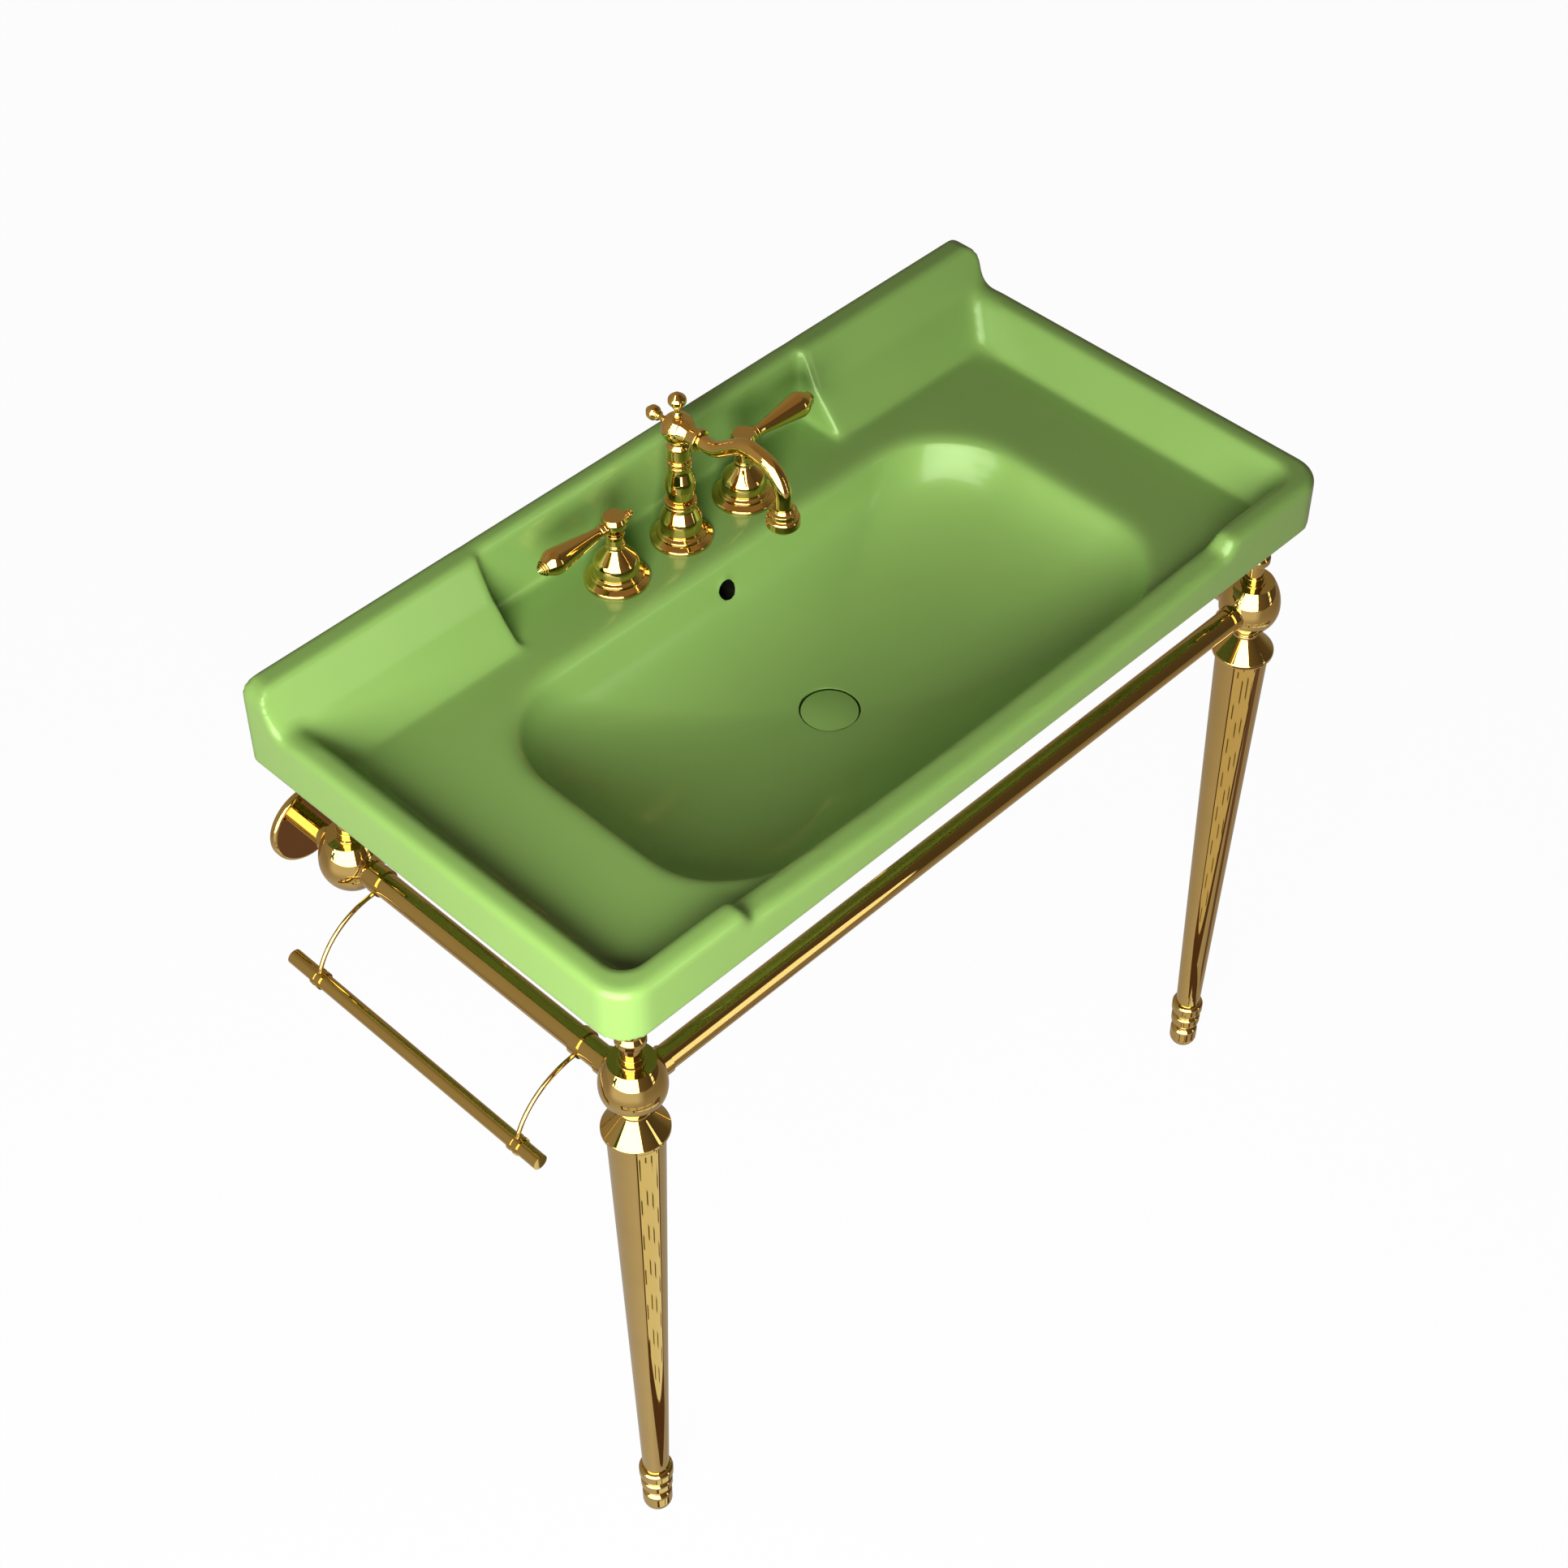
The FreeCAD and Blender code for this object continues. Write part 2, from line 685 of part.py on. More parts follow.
# ------------------------------------------------------------------------------------------ posts
def post():
    """Turned post on a ball: washer, collar and tube, bored for its stud. Its foot is at z = 0."""
    bore = stud_r + fit_gap
    return turned([(bore, 0), (post_washer_r, 0, 0.4), (post_washer_r, post_washer_height, 0.6),
                   (post_collar_r, post_washer_height + 0.2), (post_collar_r, post_collar_height, 0.8),
                   (post_tube_r, post_collar_height), (post_tube_r, post_top), (bore, post_top)])


def post_cup():
    """Beaded cup that slides over the post and spreads to a flange under the basin."""
    top = post_height - pad_thickness
    inside = post_tube_r + fit_gap
    bead_top = cup_start + cup_bead_height
    return turned([(inside, cup_start), (cup_bead_r - 2.4, cup_start, 0.8), (cup_bead_r, cup_start + 2.2, 1.5),
                   (cup_bead_r, bead_top, 3.5), (cup_neck_r, bead_top + 4, 5),
                   (cup_neck_r, top - cup_flange_height - 8, 7), (cup_flange_r, top - cup_flange_height, 1.5),
                   (cup_flange_r, top, 1), (stud_r + fit_gap, top), (stud_r + fit_gap, post_top + 0.5),
                   (inside, post_top + 0.5)])


def at_corners(shape, height):
    """One copy of a shape on each of the four corner axes."""
    return [moved(shape, corner(side, end, height)) for side in SIDES.values() for end in ENDS]


def posts():
    made = {}
    for name, side in SIDES.items():
        for end in ENDS:
            made[end + "_" + name + "_post"] = moved(post(), corner(side, end, ball_top_z))
    return made


def post_cups():
    return Part.makeCompound(at_corners(post_cup(), ball_top_z))


def support_pads():
    pad = rod(pad_r, Vector(0, 0, -pad_thickness), Vector(0, 0, 0)).cut(
        rod(stud_r + 1, Vector(0, 0, -pad_thickness - 1), Vector(0, 0, 1)))
    return Part.makeCompound(at_corners(pad, apron_z))


def frame_studs():
    """Threaded rods: one up through each post, one down through each leg cap."""
    rods = []
    for side in SIDES.values():
        for end in ENDS:
            rods.append(rod(stud_r, corner(side, end, rail_z + 2 * stud_r),
                            corner(side, end, apron_z - 2 * pad_thickness)))
        rods.append(rod(stud_r, corner(side, "front", leg_top_z - leg_spigot_length + 2),
                        corner(side, "front", rail_z - 3 * stud_r)))
    return Part.makeCompound(rods)


# ------------------------------------------------------------------------------------------ legs
def leg_inner_r(drop):
    """Inside radius of the tapered leg at a distance below its top."""
    return leg_top_r - leg_wall - (leg_top_r - leg_bottom_r) * drop / leg_length


def leg_cap():
    """Bell-shaped cap between ball and leg, with a spigot into the leg. Its lower rim is at z = 0."""
    spigot_r = leg_inner_r(leg_spigot_length) - fit_gap
    bore = stud_r + fit_gap
    ring = leg_cap_height - 9
    return turned([(bore, -leg_spigot_length), (spigot_r, -leg_spigot_length), (spigot_r, 0), (leg_top_r, 0),
                   (leg_cap_r, 1.4, 3), (leg_cap_r, 6.6, 2.6), (leg_cap_ring_r + 0.4, ring - 2.2, 16),
                   (leg_cap_ring_r - 1, ring - 0.8), (leg_cap_ring_r, ring, 0.8), (leg_cap_ring_r, ring + 3, 0.8),
                   (leg_cap_neck_r, ring + 4, 1), (leg_cap_neck_r, leg_cap_height), (bore, leg_cap_height)])


def leg():
    """Tapered leg tube, its foot at z = 0."""
    outside = Part.makeCone(leg_bottom_r, leg_top_r, leg_length)
    inside = Part.makeCone(leg_bottom_r - leg_wall, leg_top_r - leg_wall, leg_length)
    return outside.cut(inside)


def foot():
    """Turned foot: two beads, a neck and a ball that stands on the floor at z = 0."""
    spigot_r = leg_inner_r(leg_length - leg_spigot_length) - 6 * fit_gap
    top = foot_height
    plug_r = leg_bottom_r - leg_wall - 6 * fit_gap
    return turned([(0, 0), (foot_ball_r, 0, 13.6), (foot_ball_r, 32, 13.2), (foot_neck_r, 33.5, 1),
                   (foot_neck_r, 37.5, 1), (foot_second_bead_r, 38.5, 6.6), (foot_second_bead_r, 54.5, 6.6),
                   (foot_groove_r, 55.5, 1), (foot_groove_r, 60.5, 1), (foot_bead_r, 61.5, 6.8),
                   (foot_bead_r, top - 0.4, 6.8), (leg_bottom_r, top), (plug_r, top),
                   (min(plug_r, spigot_r), top + leg_spigot_length), (0, top + leg_spigot_length)])


def legs():
    made = {}
    for name, side in SIDES.items():
        made[name + "_leg_cap"] = moved(leg_cap(), corner(side, "front", leg_top_z))
        made[name + "_leg"] = moved(leg(), corner(side, "front", leg_base_z))
        made[name + "_foot"] = moved(foot(), corner(side, "front", leg_base_z - foot_height))
    return made


# ------------------------------------------------------------------------------------------ towel bar
def towel_bar():
    return rod(bar_r, Vector(-bar_side, -bar_front_from_wall, bar_z), Vector(-bar_side, -bar_back_from_wall, bar_z))


def towel_arm(from_wall):
    """Bracket brazed from a rail ring, a curved rod and a double ring round the bar."""
    rail_centre = Vector(-post_side, -from_wall, rail_z)
    bar_centre = Vector(-bar_side, -from_wall, bar_z)
    half_ring = Vector(0, arm_ring_width / 2, 0)
    half_collar = Vector(0, arm_collar_width / 2, 0)
    start = rail_centre + Vector(-arm_ring_r * 0.8, 0, -arm_ring_r * 0.6)
    end = bar_centre + Vector(0, 0, arm_collar_r - 1)
    middle = (start + end) * 0.5 + Vector(-8.5, 0, 12)
    curve = Part.Arc(start, middle, end)
    tangent = curve.tangent(curve.FirstParameter)[0]
    section = Part.Wire(Part.makeCircle(arm_rod_r, start, tangent))
    rod_solid = Part.Wire(curve.toShape()).makePipeShell([section], True, False)
    arm = rod(arm_ring_r, rail_centre - half_ring, rail_centre + half_ring).fuse(rod_solid)
    groove_start = bar_centre - Vector(0, arm_collar_width / 6, 0)
    groove_end = bar_centre + Vector(0, arm_collar_width / 6, 0)
    arm = arm.fuse(rod(arm_collar_r, bar_centre - half_collar, groove_start))
    arm = arm.fuse(rod(arm_collar_r, groove_end, bar_centre + half_collar))
    arm = arm.fuse(rod((arm_collar_r + bar_r) / 2, groove_start, groove_end))
    arm = arm.cut(rod(rail_r + fit_gap, rail_centre - half_ring * 2, rail_centre + half_ring * 2))
    return arm.cut(rod(bar_r + fit_gap, bar_centre - half_collar * 2, bar_centre + half_collar * 2))


# ------------------------------------------------------------------------------------------ faucet
def on_deck(shape, across):
    return moved(shape, Vector(across, -tap_from_wall, deck_z))


def base_skirt(radius, dome_r):
    """Stepped foot of an escutcheon, as (radius, height) corners up to its dome."""
    return [(radius, 0), (radius, 3.6, 2.4), (radius - 5.6, 6.6, 4), (radius - 6.6, 7), (radius - 6.6, 10, 1.6),
            (dome_r - 0.8, 12.4, 1.6), (dome_r, 15.4, 2)]


def spout_base():
    """Bell escutcheon under the spout column, ending in a pair of rings."""
    inside = shank_r + 1.5
    top = base_height
    return turned([(inside, 0)] + base_skirt(base_r, base_dome_r) + [
        (base_dome_r, 28, 13), (ring_r - 1, 42, 6), (ring_r - 1, 43.2), (ring_r, 43.4, 0.9), (ring_r, 46.8, 0.9),
        (ring_r - 1.2, 47.2), (ring_r - 1.2, 47.8), (ring_r, 48.2, 0.9), (ring_r, top - 0.4, 0.9),
        (ring_r - 2, top), (riser_r + fit_gap, top), (riser_r + fit_gap, top - 10), (inside, top - 20)])


def spout_column():
    """Vase-shaped column with a ring pair and a bulb, and the pin that the spout turns on."""
    base = base_height
    top = column_height
    pin_top = top + swivel_pin_length
    return turned([(riser_r + fit_gap, base), (13.4, base), (13.8, base + 2, 3), (column_r + 0.3, base + 16, 14),
                   (column_r, base + 24, 18), (column_top_r, base + 38, 14), (column_top_r, base + 41.4),
                   (column_ring_r, base + 41.8, 0.9), (column_ring_r, base + 45, 0.9), (column_ring_r - 1.2, base + 45.4),
                   (column_ring_r - 1.2, base + 46.2), (column_ring_r, base + 46.6, 0.9),
                   (column_ring_r, base + 50.6, 0.9), (column_top_r - 0.6, base + 51.2, 0.6),
                   (column_bulb_r, base + 54.4, 5), (column_bulb_r, base + 69.2, 6), (9.4, top), (swivel_pin_r, top),
                   (swivel_pin_r, pin_top), (water_bore_r, pin_top), (water_bore_r, base + 12),
                   (riser_r + fit_gap, base + 12)])


def spout_axis(reach, rise):
    """Point in the plane of the spout, reach away from its column axis and rise above the deck."""
    return Vector(0, -tap_from_wall - reach, deck_z + rise)


def spout_path():
    """Centre line of the spout: out of the head, up over a crest and down to the outlet."""
    outlet_rise = spout_rise - aerator_drop + aerator_height / 2
    corners = [(spout_neck_reach - 10, spout_rise), (spout_first_bend, spout_rise, spout_bend_r),
               (spout_crest, spout_rise + spout_crest_rise, spout_bend_r),
               (spout_reach, spout_rise + spout_turn_rise, spout_bend_r), (spout_reach, outlet_rise),
               (spout_reach + 200, outlet_rise), (spout_reach + 200, -200), (spout_neck_reach - 10, -200)]
    wire = outline(corners, lambda along, up: spout_axis(along, up))
    return Part.Wire(Part.__sortEdges__(path_edges(wire, outlet_rise)))


def path_edges(wire, outlet_rise):
    """The edges of the closed outline that belong to the spout itself."""
    far = -tap_from_wall - spout_reach - 0.01
    low = deck_z + outlet_rise - 0.01
    return [edge for edge in wire.Edges if edge.BoundBox.YMin > far and edge.BoundBox.ZMin > low]


def swept(path, start_r, end_r):
    """Round tube solid along a path, its radius changing from one end to the other."""
    first = path.OrderedEdges[0]
    last = path.OrderedEdges[-1]
    start_section = Part.Wire(Part.makeCircle(start_r, first.Vertexes[0].Point, first.tangentAt(first.FirstParameter)))
    end_point = last.valueAt(last.LastParameter)
    end_section = Part.Wire(Part.makeCircle(end_r, end_point, last.tangentAt(last.LastParameter)))
    return path.makePipeShell([start_section, end_section], True, False)


def spout_tube():
    path = spout_path()
    outside = swept(path, spout_start_r, spout_end_r)
    return outside.cut(swept(path, spout_start_r - spout_wall, spout_end_r - spout_wall))


def finial(knob_r, length):
    """Turned knob on a waisted neck, its seat at z = 0 and a pin below."""
    pin = -finial_pin_length
    neck_top = length * 0.33
    collar = length * 0.42
    return turned([(0, pin), (finial_pin_r, pin), (finial_pin_r, 0), (finial_seat_r, 0), (finial_seat_r, 1.6, 0.7),
                   (finial_neck_r, 4, 2), (finial_neck_r, neck_top, 1.2), (finial_seat_r, collar - 1.4, 0.5),
                   (finial_seat_r, collar, 0.5), (finial_seat_r - 1, collar + 0.4), (knob_r, length * 0.56, 3),
                   (knob_r, length * 0.76, 5), (knob_r * 0.32, length * 0.96, 3), (0, length)])


def ball_seat(seat_r):
    """Distance from the ball head's centre to a flat of the given radius."""
    return math.sqrt(head_r * head_r - seat_r * seat_r)


def spout_head():
    """Ball that turns on the column, with the flared neck that holds the spout."""
    centre = spout_axis(0, head_rise)
    bottom = spout_axis(0, column_height + seat_gap)
    head = Part.makeSphere(head_r, centre).fuse(rod(9.2, bottom, centre))
    neck = turned([(0, 0), (head_r * 0.8, 0), (head_r * 0.8, 10, 4), (spout_neck_r, 19, 8),
                   (spout_neck_r, spout_neck_reach - 5.6, 1.5), (spout_flare_r, spout_neck_reach - 4.6, 0.9),
                   (spout_flare_r, spout_neck_reach - 0.8, 0.9), (spout_neck_r, spout_neck_reach), (0, spout_neck_reach)])
    head = head.fuse(moved(aimed(neck, Vector(0, -1, 0)), spout_axis(0, spout_rise)))
    below = spout_axis(0, column_height - 30)
    head = head.cut(rod(head_r, below, bottom))
    pin_room = spout_axis(0, column_height + swivel_pin_length + seat_gap)
    head = head.cut(rod(swivel_pin_r + swivel_gap, below, pin_room))
    head = head.cut(rod(water_bore_r, pin_room, spout_axis(0, spout_rise)))
    head = head.cut(rod(water_bore_r, spout_axis(0, spout_rise), spout_axis(spout_neck_reach, spout_rise)))
    head = head.cut(rod(spout_start_r + 3 * fit_gap, spout_axis(spout_neck_reach - 10, spout_rise),
                        spout_axis(spout_neck_reach + 1, spout_rise)))
    seat = ball_seat(finial_seat_r + fit_gap)
    for direction in (Vector(0, 0, 1), Vector(0, 1, 0)):
        head = head.cut(rod(finial_seat_r + fit_gap, centre + direction * seat, centre + direction * 2 * head_r))
        pin_end = centre + direction * (seat - finial_pin_length - 1)
        head = head.cut(rod(finial_pin_r + fit_gap, pin_end, centre + direction * 2 * head_r))
    return head


def finials():
    centre = spout_axis(0, head_rise)
    seat = ball_seat(finial_seat_r + fit_gap)
    top = moved(finial(finial_knob_r, finial_length), centre + Vector(0, 0, seat))
    rear = moved(aimed(finial(rear_knob_r, rear_finial_length), Vector(0, 1, 0)), centre + Vector(0, seat, 0))
    return {"top_finial": top, "rear_finial": rear}


def aerator():
    """Outlet ring and bulb round the end of the spout."""
    bore = spout_end_r + 3 * fit_gap
    top = aerator_height
    piece = turned([(aerator_mouth_r, 0), (13.6, 0, 0.8), (aerator_r, 4.2, 3), (aerator_r, 13.6, 3),
                    (12.6, 15.4, 0.6), (aerator_ring_r, 16, 0.9), (aerator_ring_r, 20.6, 0.9),
                    (11, top - 3, 1), (bore + 1, top), (bore, top), (bore, top / 2 - 0.5),
                    (water_bore_r + 1, top / 2 - 0.5), (aerator_mouth_r, 7)])
    return moved(piece, spout_axis(spout_reach, spout_rise - aerator_drop))


def spout_shank():
    """Threaded shank with a riser into the column above and a tee for the two mixing pipes below."""
    shank = rod(shank_r, Vector(0, 0, -shank_length), Vector(0, 0, base_height - 34))
    shank = shank.fuse(rod(riser_r, Vector(0, 0, 0), Vector(0, 0, base_height + 11)))
    shank = shank.fuse(rod(mixing_boss_r + 3, Vector(0, 0, -mixing_drop - 12), Vector(0, 0, -shank_length)))
    reach = Vector(mixing_boss_reach, 0, 0)
    axis = Vector(0, 0, -mixing_drop)
    shank = shank.fuse(rod(mixing_boss_r, axis - reach, axis + reach))
    shank = shank.cut(rod(mixing_pipe_r + fit_gap, axis - reach, axis - reach * 0.6))
    shank = shank.cut(rod(mixing_pipe_r + fit_gap, axis + reach * 0.6, axis + reach))
    shank = shank.cut(rod(water_bore_r, axis - reach, axis + reach))
    return on_deck(shank.cut(rod(water_bore_r, axis, Vector(0, 0, base_height + 12))), 0)


def valve_body(side):
    """Threaded valve body: stem housing above the deck, inlet below, and an outlet toward the spout."""
    inlet_end = -mixing_drop - mixing_boss_r - inlet_length
    body = rod(shank_r, Vector(0, 0, -mixing_drop - mixing_boss_r - 2), Vector(0, 0, 3))
    body = body.fuse(rod(body_top_r, Vector(0, 0, 0), Vector(0, 0, body_top_rise)))
    body = body.fuse(rod(inlet_r, Vector(0, 0, inlet_end), Vector(0, 0, 0)))
    axis = Vector(0, 0, -mixing_drop)
    toward_spout = Vector(-side * mixing_boss_reach, 0, 0)
    body = body.fuse(rod(mixing_boss_r, axis, axis + toward_spout))
    body = body.cut(rod(mixing_pipe_r + fit_gap, axis + toward_spout * 0.6, axis + toward_spout))
    body = body.cut(rod(water_bore_r, axis, axis + toward_spout))
    body = body.cut(rod(water_bore_r, Vector(0, 0, inlet_end - 1), Vector(0, 0, stem_foot_rise - 1)))
    body = body.cut(rod(stem_r + swivel_gap, Vector(0, 0, stem_foot_rise - 1), Vector(0, 0, body_top_rise + 1)))
    return on_deck(body, side * tap_spacing)


def mixing_pipes():
    """Copper pipe from each valve to the tee under the spout."""
    pipes = []
    for side in SIDES.values():
        start = Vector(side * mixing_boss_reach * 0.65, 0, -mixing_drop)
        end = Vector(side * (tap_spacing - mixing_boss_reach * 0.65), 0, -mixing_drop)
        pipes.append(on_deck(tube(mixing_pipe_r, 1, start, end), 0))
    return Part.makeCompound(pipes)


def under_deck(shape):
    """One copy of a shape under each tap hole, hanging from the deck's underside."""
    spots = (-tap_spacing, 0, tap_spacing)
    return Part.makeCompound([moved(shape, Vector(x, -tap_from_wall, deck_under_z)) for x in spots])


def deck_washers():
    washer = rod(washer_r, Vector(0, 0, -washer_thickness), Vector(0, 0, 0))
    return under_deck(washer.cut(rod(shank_r + fit_gap, Vector(0, 0, -washer_thickness - 1), Vector(0, 0, 1))))


def deck_nuts():
    nut = hexagon(deck_nut_flats, shank_r + fit_gap, deck_nut_height)
    return under_deck(moved(nut, Vector(0, 0, -washer_thickness - deck_nut_height)))


def handle_base():
    """Bell escutcheon of a handle, open inside for the valve body."""
    inside = body_top_r + fit_gap
    top = handle_base_height
    stem_room = stem_r + 0.4
    return turned([(shank_r + 1.5, 0)] + base_skirt(handle_base_r, handle_dome_r) + [
        (handle_dome_r, 27, 15), (handle_neck_r + 0.2, 42.6, 7), (handle_neck_r, 44.2),
        (handle_neck_r + 1.4, 44.6, 0.8), (handle_neck_r + 1.4, 47.8, 0.8), (handle_neck_r, 48.4, 0.6),
        (handle_neck_r, top - 6, 3), (handle_neck_r + 1.2, top - 2.4, 0.8), (handle_neck_r + 1.2, top, 0.8),
        (stem_room, top), (stem_room, body_top_rise + 4), (inside, body_top_rise + 1), (inside, 14),
        (shank_r + 1.5, 9)])


def valve_stem():
    return rod(stem_r, Vector(0, 0, stem_foot_rise), Vector(0, 0, stem_top_rise))


def handle_hub(side):
    """Cup-shaped hub on the stem, bored through from side to side for the lever and its button."""
    start = hub_start_rise
    hub = turned([(stem_r + fit_gap, start), (8.6, start, 0.8), (9.4, start + 2.6, 0.8), (9.2, start + 3.4),
                  (10.2, start + 3.8, 0.6), (hub_r, start + 11, 6), (hub_r, hub_top_rise - 5, 3),
                  (hub_top_r, hub_top_rise, 0.5), (0, hub_top_rise), (0, stem_top_rise + 0.5),
                  (stem_r + fit_gap, stem_top_rise + 0.5)])
    axis = Vector(0, 0, lever_rise)
    outward = Vector(side, 0, 0)
    for way, seat_r in ((outward, ferrule_r), (outward * -1, button_root_r)):
        hub = hub.cut(rod(lever_pin_r + fit_gap, axis + way * (lever_start - 0.5), axis + way * 2 * hub_r))
        hub = hub.cut(rod(seat_r + fit_gap, axis + way * lever_root, axis + way * 2 * hub_r))
    return hub


def lever():
    """Tear-drop lever along +Z from the hub axis, with ferrule rings and a stepped tip."""
    root = lever_root
    tip = lever_length
    return turned([(0, lever_start), (lever_pin_r, lever_start), (lever_pin_r, root), (ferrule_r, root, 0.5),
                   (ferrule_r, root + 2.8, 0.8), (5.8, root + 3.2), (5.8, root + 4.4), (6.9, root + 4.8, 0.7),
                   (6.9, root + 7.2, 0.7), (lever_neck_r, root + 7.8), (lever_neck_r, root + 12, 60),
                   (lever_r, lever_widest, 15), (8.6, tip - 8.4, 2), (8.4, tip - 7, 0.5), (6.8, tip - 6.6),
                   (6.8, tip - 5, 0.5), (5.2, tip - 4.6), (5.2, tip - 3.2, 0.5), (3.4, tip - 2.8), (0, tip)])


def lever_button():
    """Ringed button that closes the hub opposite the lever."""
    root = lever_root
    end = button_reach
    return turned([(0, lever_start), (lever_pin_r, lever_start), (lever_pin_r, root), (button_root_r, root, 0.5),
                   (button_root_r, root + 2.8, 0.8), (4.4, root + 3.2), (4.4, root + 4.4), (button_r, root + 4.8, 0.7),
                   (button_r, root + 7.6, 0.7), (3.6, root + 8), (3.2, end, 1.6), (0, end)])


def handles():
    made = {}
    for name, side in SIDES.items():
        x = side * tap_spacing
        outward = Vector(side, 0, 0)
        lever_axis = Vector(0, 0, lever_rise)
        made[name + "_handle_base"] = on_deck(handle_base(), x)
        made[name + "_valve_body"] = valve_body(side)
        made[name + "_valve_stem"] = on_deck(valve_stem(), x)
        made[name + "_handle_hub"] = on_deck(handle_hub(side), x)
        made[name + "_lever"] = on_deck(moved(aimed(lever(), outward), lever_axis), x)
        made[name + "_lever_button"] = on_deck(moved(aimed(lever_button(), outward * -1), lever_axis), x)
    return made


# ------------------------------------------------------------------------------------------ waste
def at_drain(shape, height):
    return moved(shape, Vector(0, -drain_from_wall, height))


def waste_body():
    """Flanged, threaded waste with overflow slots and a bridge that guides the cap's stem."""
    bottom = -waste_length
    body = turned([(waste_bore_r, 0), (waste_flange_r, 0, 0.6), (waste_flange_r, -waste_flange_thickness),
                   (waste_r, -waste_flange_thickness), (waste_r, bottom), (tail_spigot_r + fit_gap, bottom),
                   (tail_spigot_r + fit_gap, bottom + tail_socket), (tail_r - tail_wall, bottom + tail_socket),
                   (waste_bore_r, bottom + tail_socket + 4)])
    slot_centre = -waste_flange_thickness + boss_z + duct_depth / 2 + duct_wall - recess_z
    for side in (-1, 1):
        low = Vector(-waste_slot_width / 2, min(0, side * 2 * waste_r), slot_centre - waste_slot_height / 2)
        high = Vector(waste_slot_width / 2, max(0, side * 2 * waste_r), slot_centre + waste_slot_height / 2)
        body = body.cut(block(low, high))
    bridge_top = Vector(0, 0, -guide_drop)
    bridge_low = Vector(0, 0, -guide_drop - guide_height)
    bars = block(Vector(-waste_bore_r - 1, -guide_bar / 2, bridge_low.z),
                 Vector(waste_bore_r + 1, guide_bar / 2, bridge_top.z))
    body = body.fuse(bars).fuse(rod(guide_r, bridge_low, bridge_top))
    body = body.cut(rod(cap_stem_r + swivel_gap, bridge_low - Vector(0, 0, 1), bridge_top + Vector(0, 0, 1)))
    return at_drain(body, flange_top_z)


def drain_cap():
    """Domed ceramic cap that stands in the bowl's recess just above the waste flange."""
    crown = cap_height + cap_dome
    half = cap_r / 2
    cap = turned([(0, 0), (cap_r - 0.6, 0, 0.4), (cap_r, 0.6, 0.4), (cap_r, cap_height, 1),
                  (half, cap_height + cap_dome, 200), (0, crown)])
    cap = cap.cut(rod(cap_stem_r + fit_gap, Vector(0, 0, -1), Vector(0, 0, cap_height - 1)))
    return at_drain(cap, flange_top_z + seat_gap)


def drain_cap_stem():
    """Pin under the cap, with a stop below the guide bridge."""
    foot = -cap_stem_length
    stem = rod(cap_stem_r, Vector(0, 0, foot), Vector(0, 0, cap_height - 1.2))
    stem = stem.fuse(rod(cap_stop_r, Vector(0, 0, foot), Vector(0, 0, foot + cap_stop_height)))
    return at_drain(stem, flange_top_z + seat_gap)


def waste_gasket():
    ring = tube(gasket_r, gasket_r - waste_r - fit_gap, Vector(0, 0, -gasket_thickness), Vector(0, 0, 0))
    return at_drain(ring, boss_z)


def waste_nut():
    nut = hexagon(waste_nut_flats, waste_r + fit_gap, waste_nut_height)
    return at_drain(nut, boss_z - gasket_thickness - waste_nut_height)


def tailpiece():
    """Pipe that carries the water to the trap, with a turned-down top that slips into the waste."""
    pipe = turned([(tail_r - tail_wall, -tail_length), (tail_r, -tail_length), (tail_r, 0), (tail_spigot_r, 0),
                   (tail_spigot_r, tail_socket - seat_gap), (tail_r - tail_wall, tail_socket - seat_gap)])
    return at_drain(pipe, flange_top_z - waste_length)


# ------------------------------------------------------------------------------------------ all pieces
PIECES = {
    "basin": basin(),
    "rail_sockets": rail_sockets(),
    "wall_tube_collars": wall_tube_collars(),
    "wall_plates": wall_plates(),
    "post_cups": post_cups(),
    "support_pads": support_pads(),
    "frame_studs": frame_studs(),
    "towel_bar": towel_bar(),
    "front_towel_arm": towel_arm(front_arm_from_wall),
    "rear_towel_arm": towel_arm(rear_arm_from_wall),
    "spout_base": on_deck(spout_base(), 0),
    "spout_column": on_deck(spout_column(), 0),
    "spout_shank": spout_shank(),
    "spout_head": spout_head(),
    "spout_tube": spout_tube(),
    "aerator": aerator(),
    "mixing_pipes": mixing_pipes(),
    "deck_washers": deck_washers(),
    "deck_nuts": deck_nuts(),
    "drain_cap": drain_cap(),
    "drain_cap_stem": drain_cap_stem(),
    "waste_body": waste_body(),
    "waste_gasket": waste_gasket(),
    "waste_nut": waste_nut(),
    "tailpiece": tailpiece(),
}
PIECES.update(balls())
PIECES.update(rails())
PIECES.update(posts())
PIECES.update(legs())
PIECES.update(finials())
PIECES.update(handles())
for name, side in SIDES.items():
    PIECES[name + "_wall_tube"] = wall_tube(side)
    PIECES[name + "_wall_flange"] = wall_flange(side)

os.makedirs("parts", exist_ok=True)
for name, shape in PIECES.items():
    shape.exportStep("parts/" + name + ".step")
    print(name, len(shape.Solids), round(shape.Volume / 1000, 2), shape.isValid())
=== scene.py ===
import math

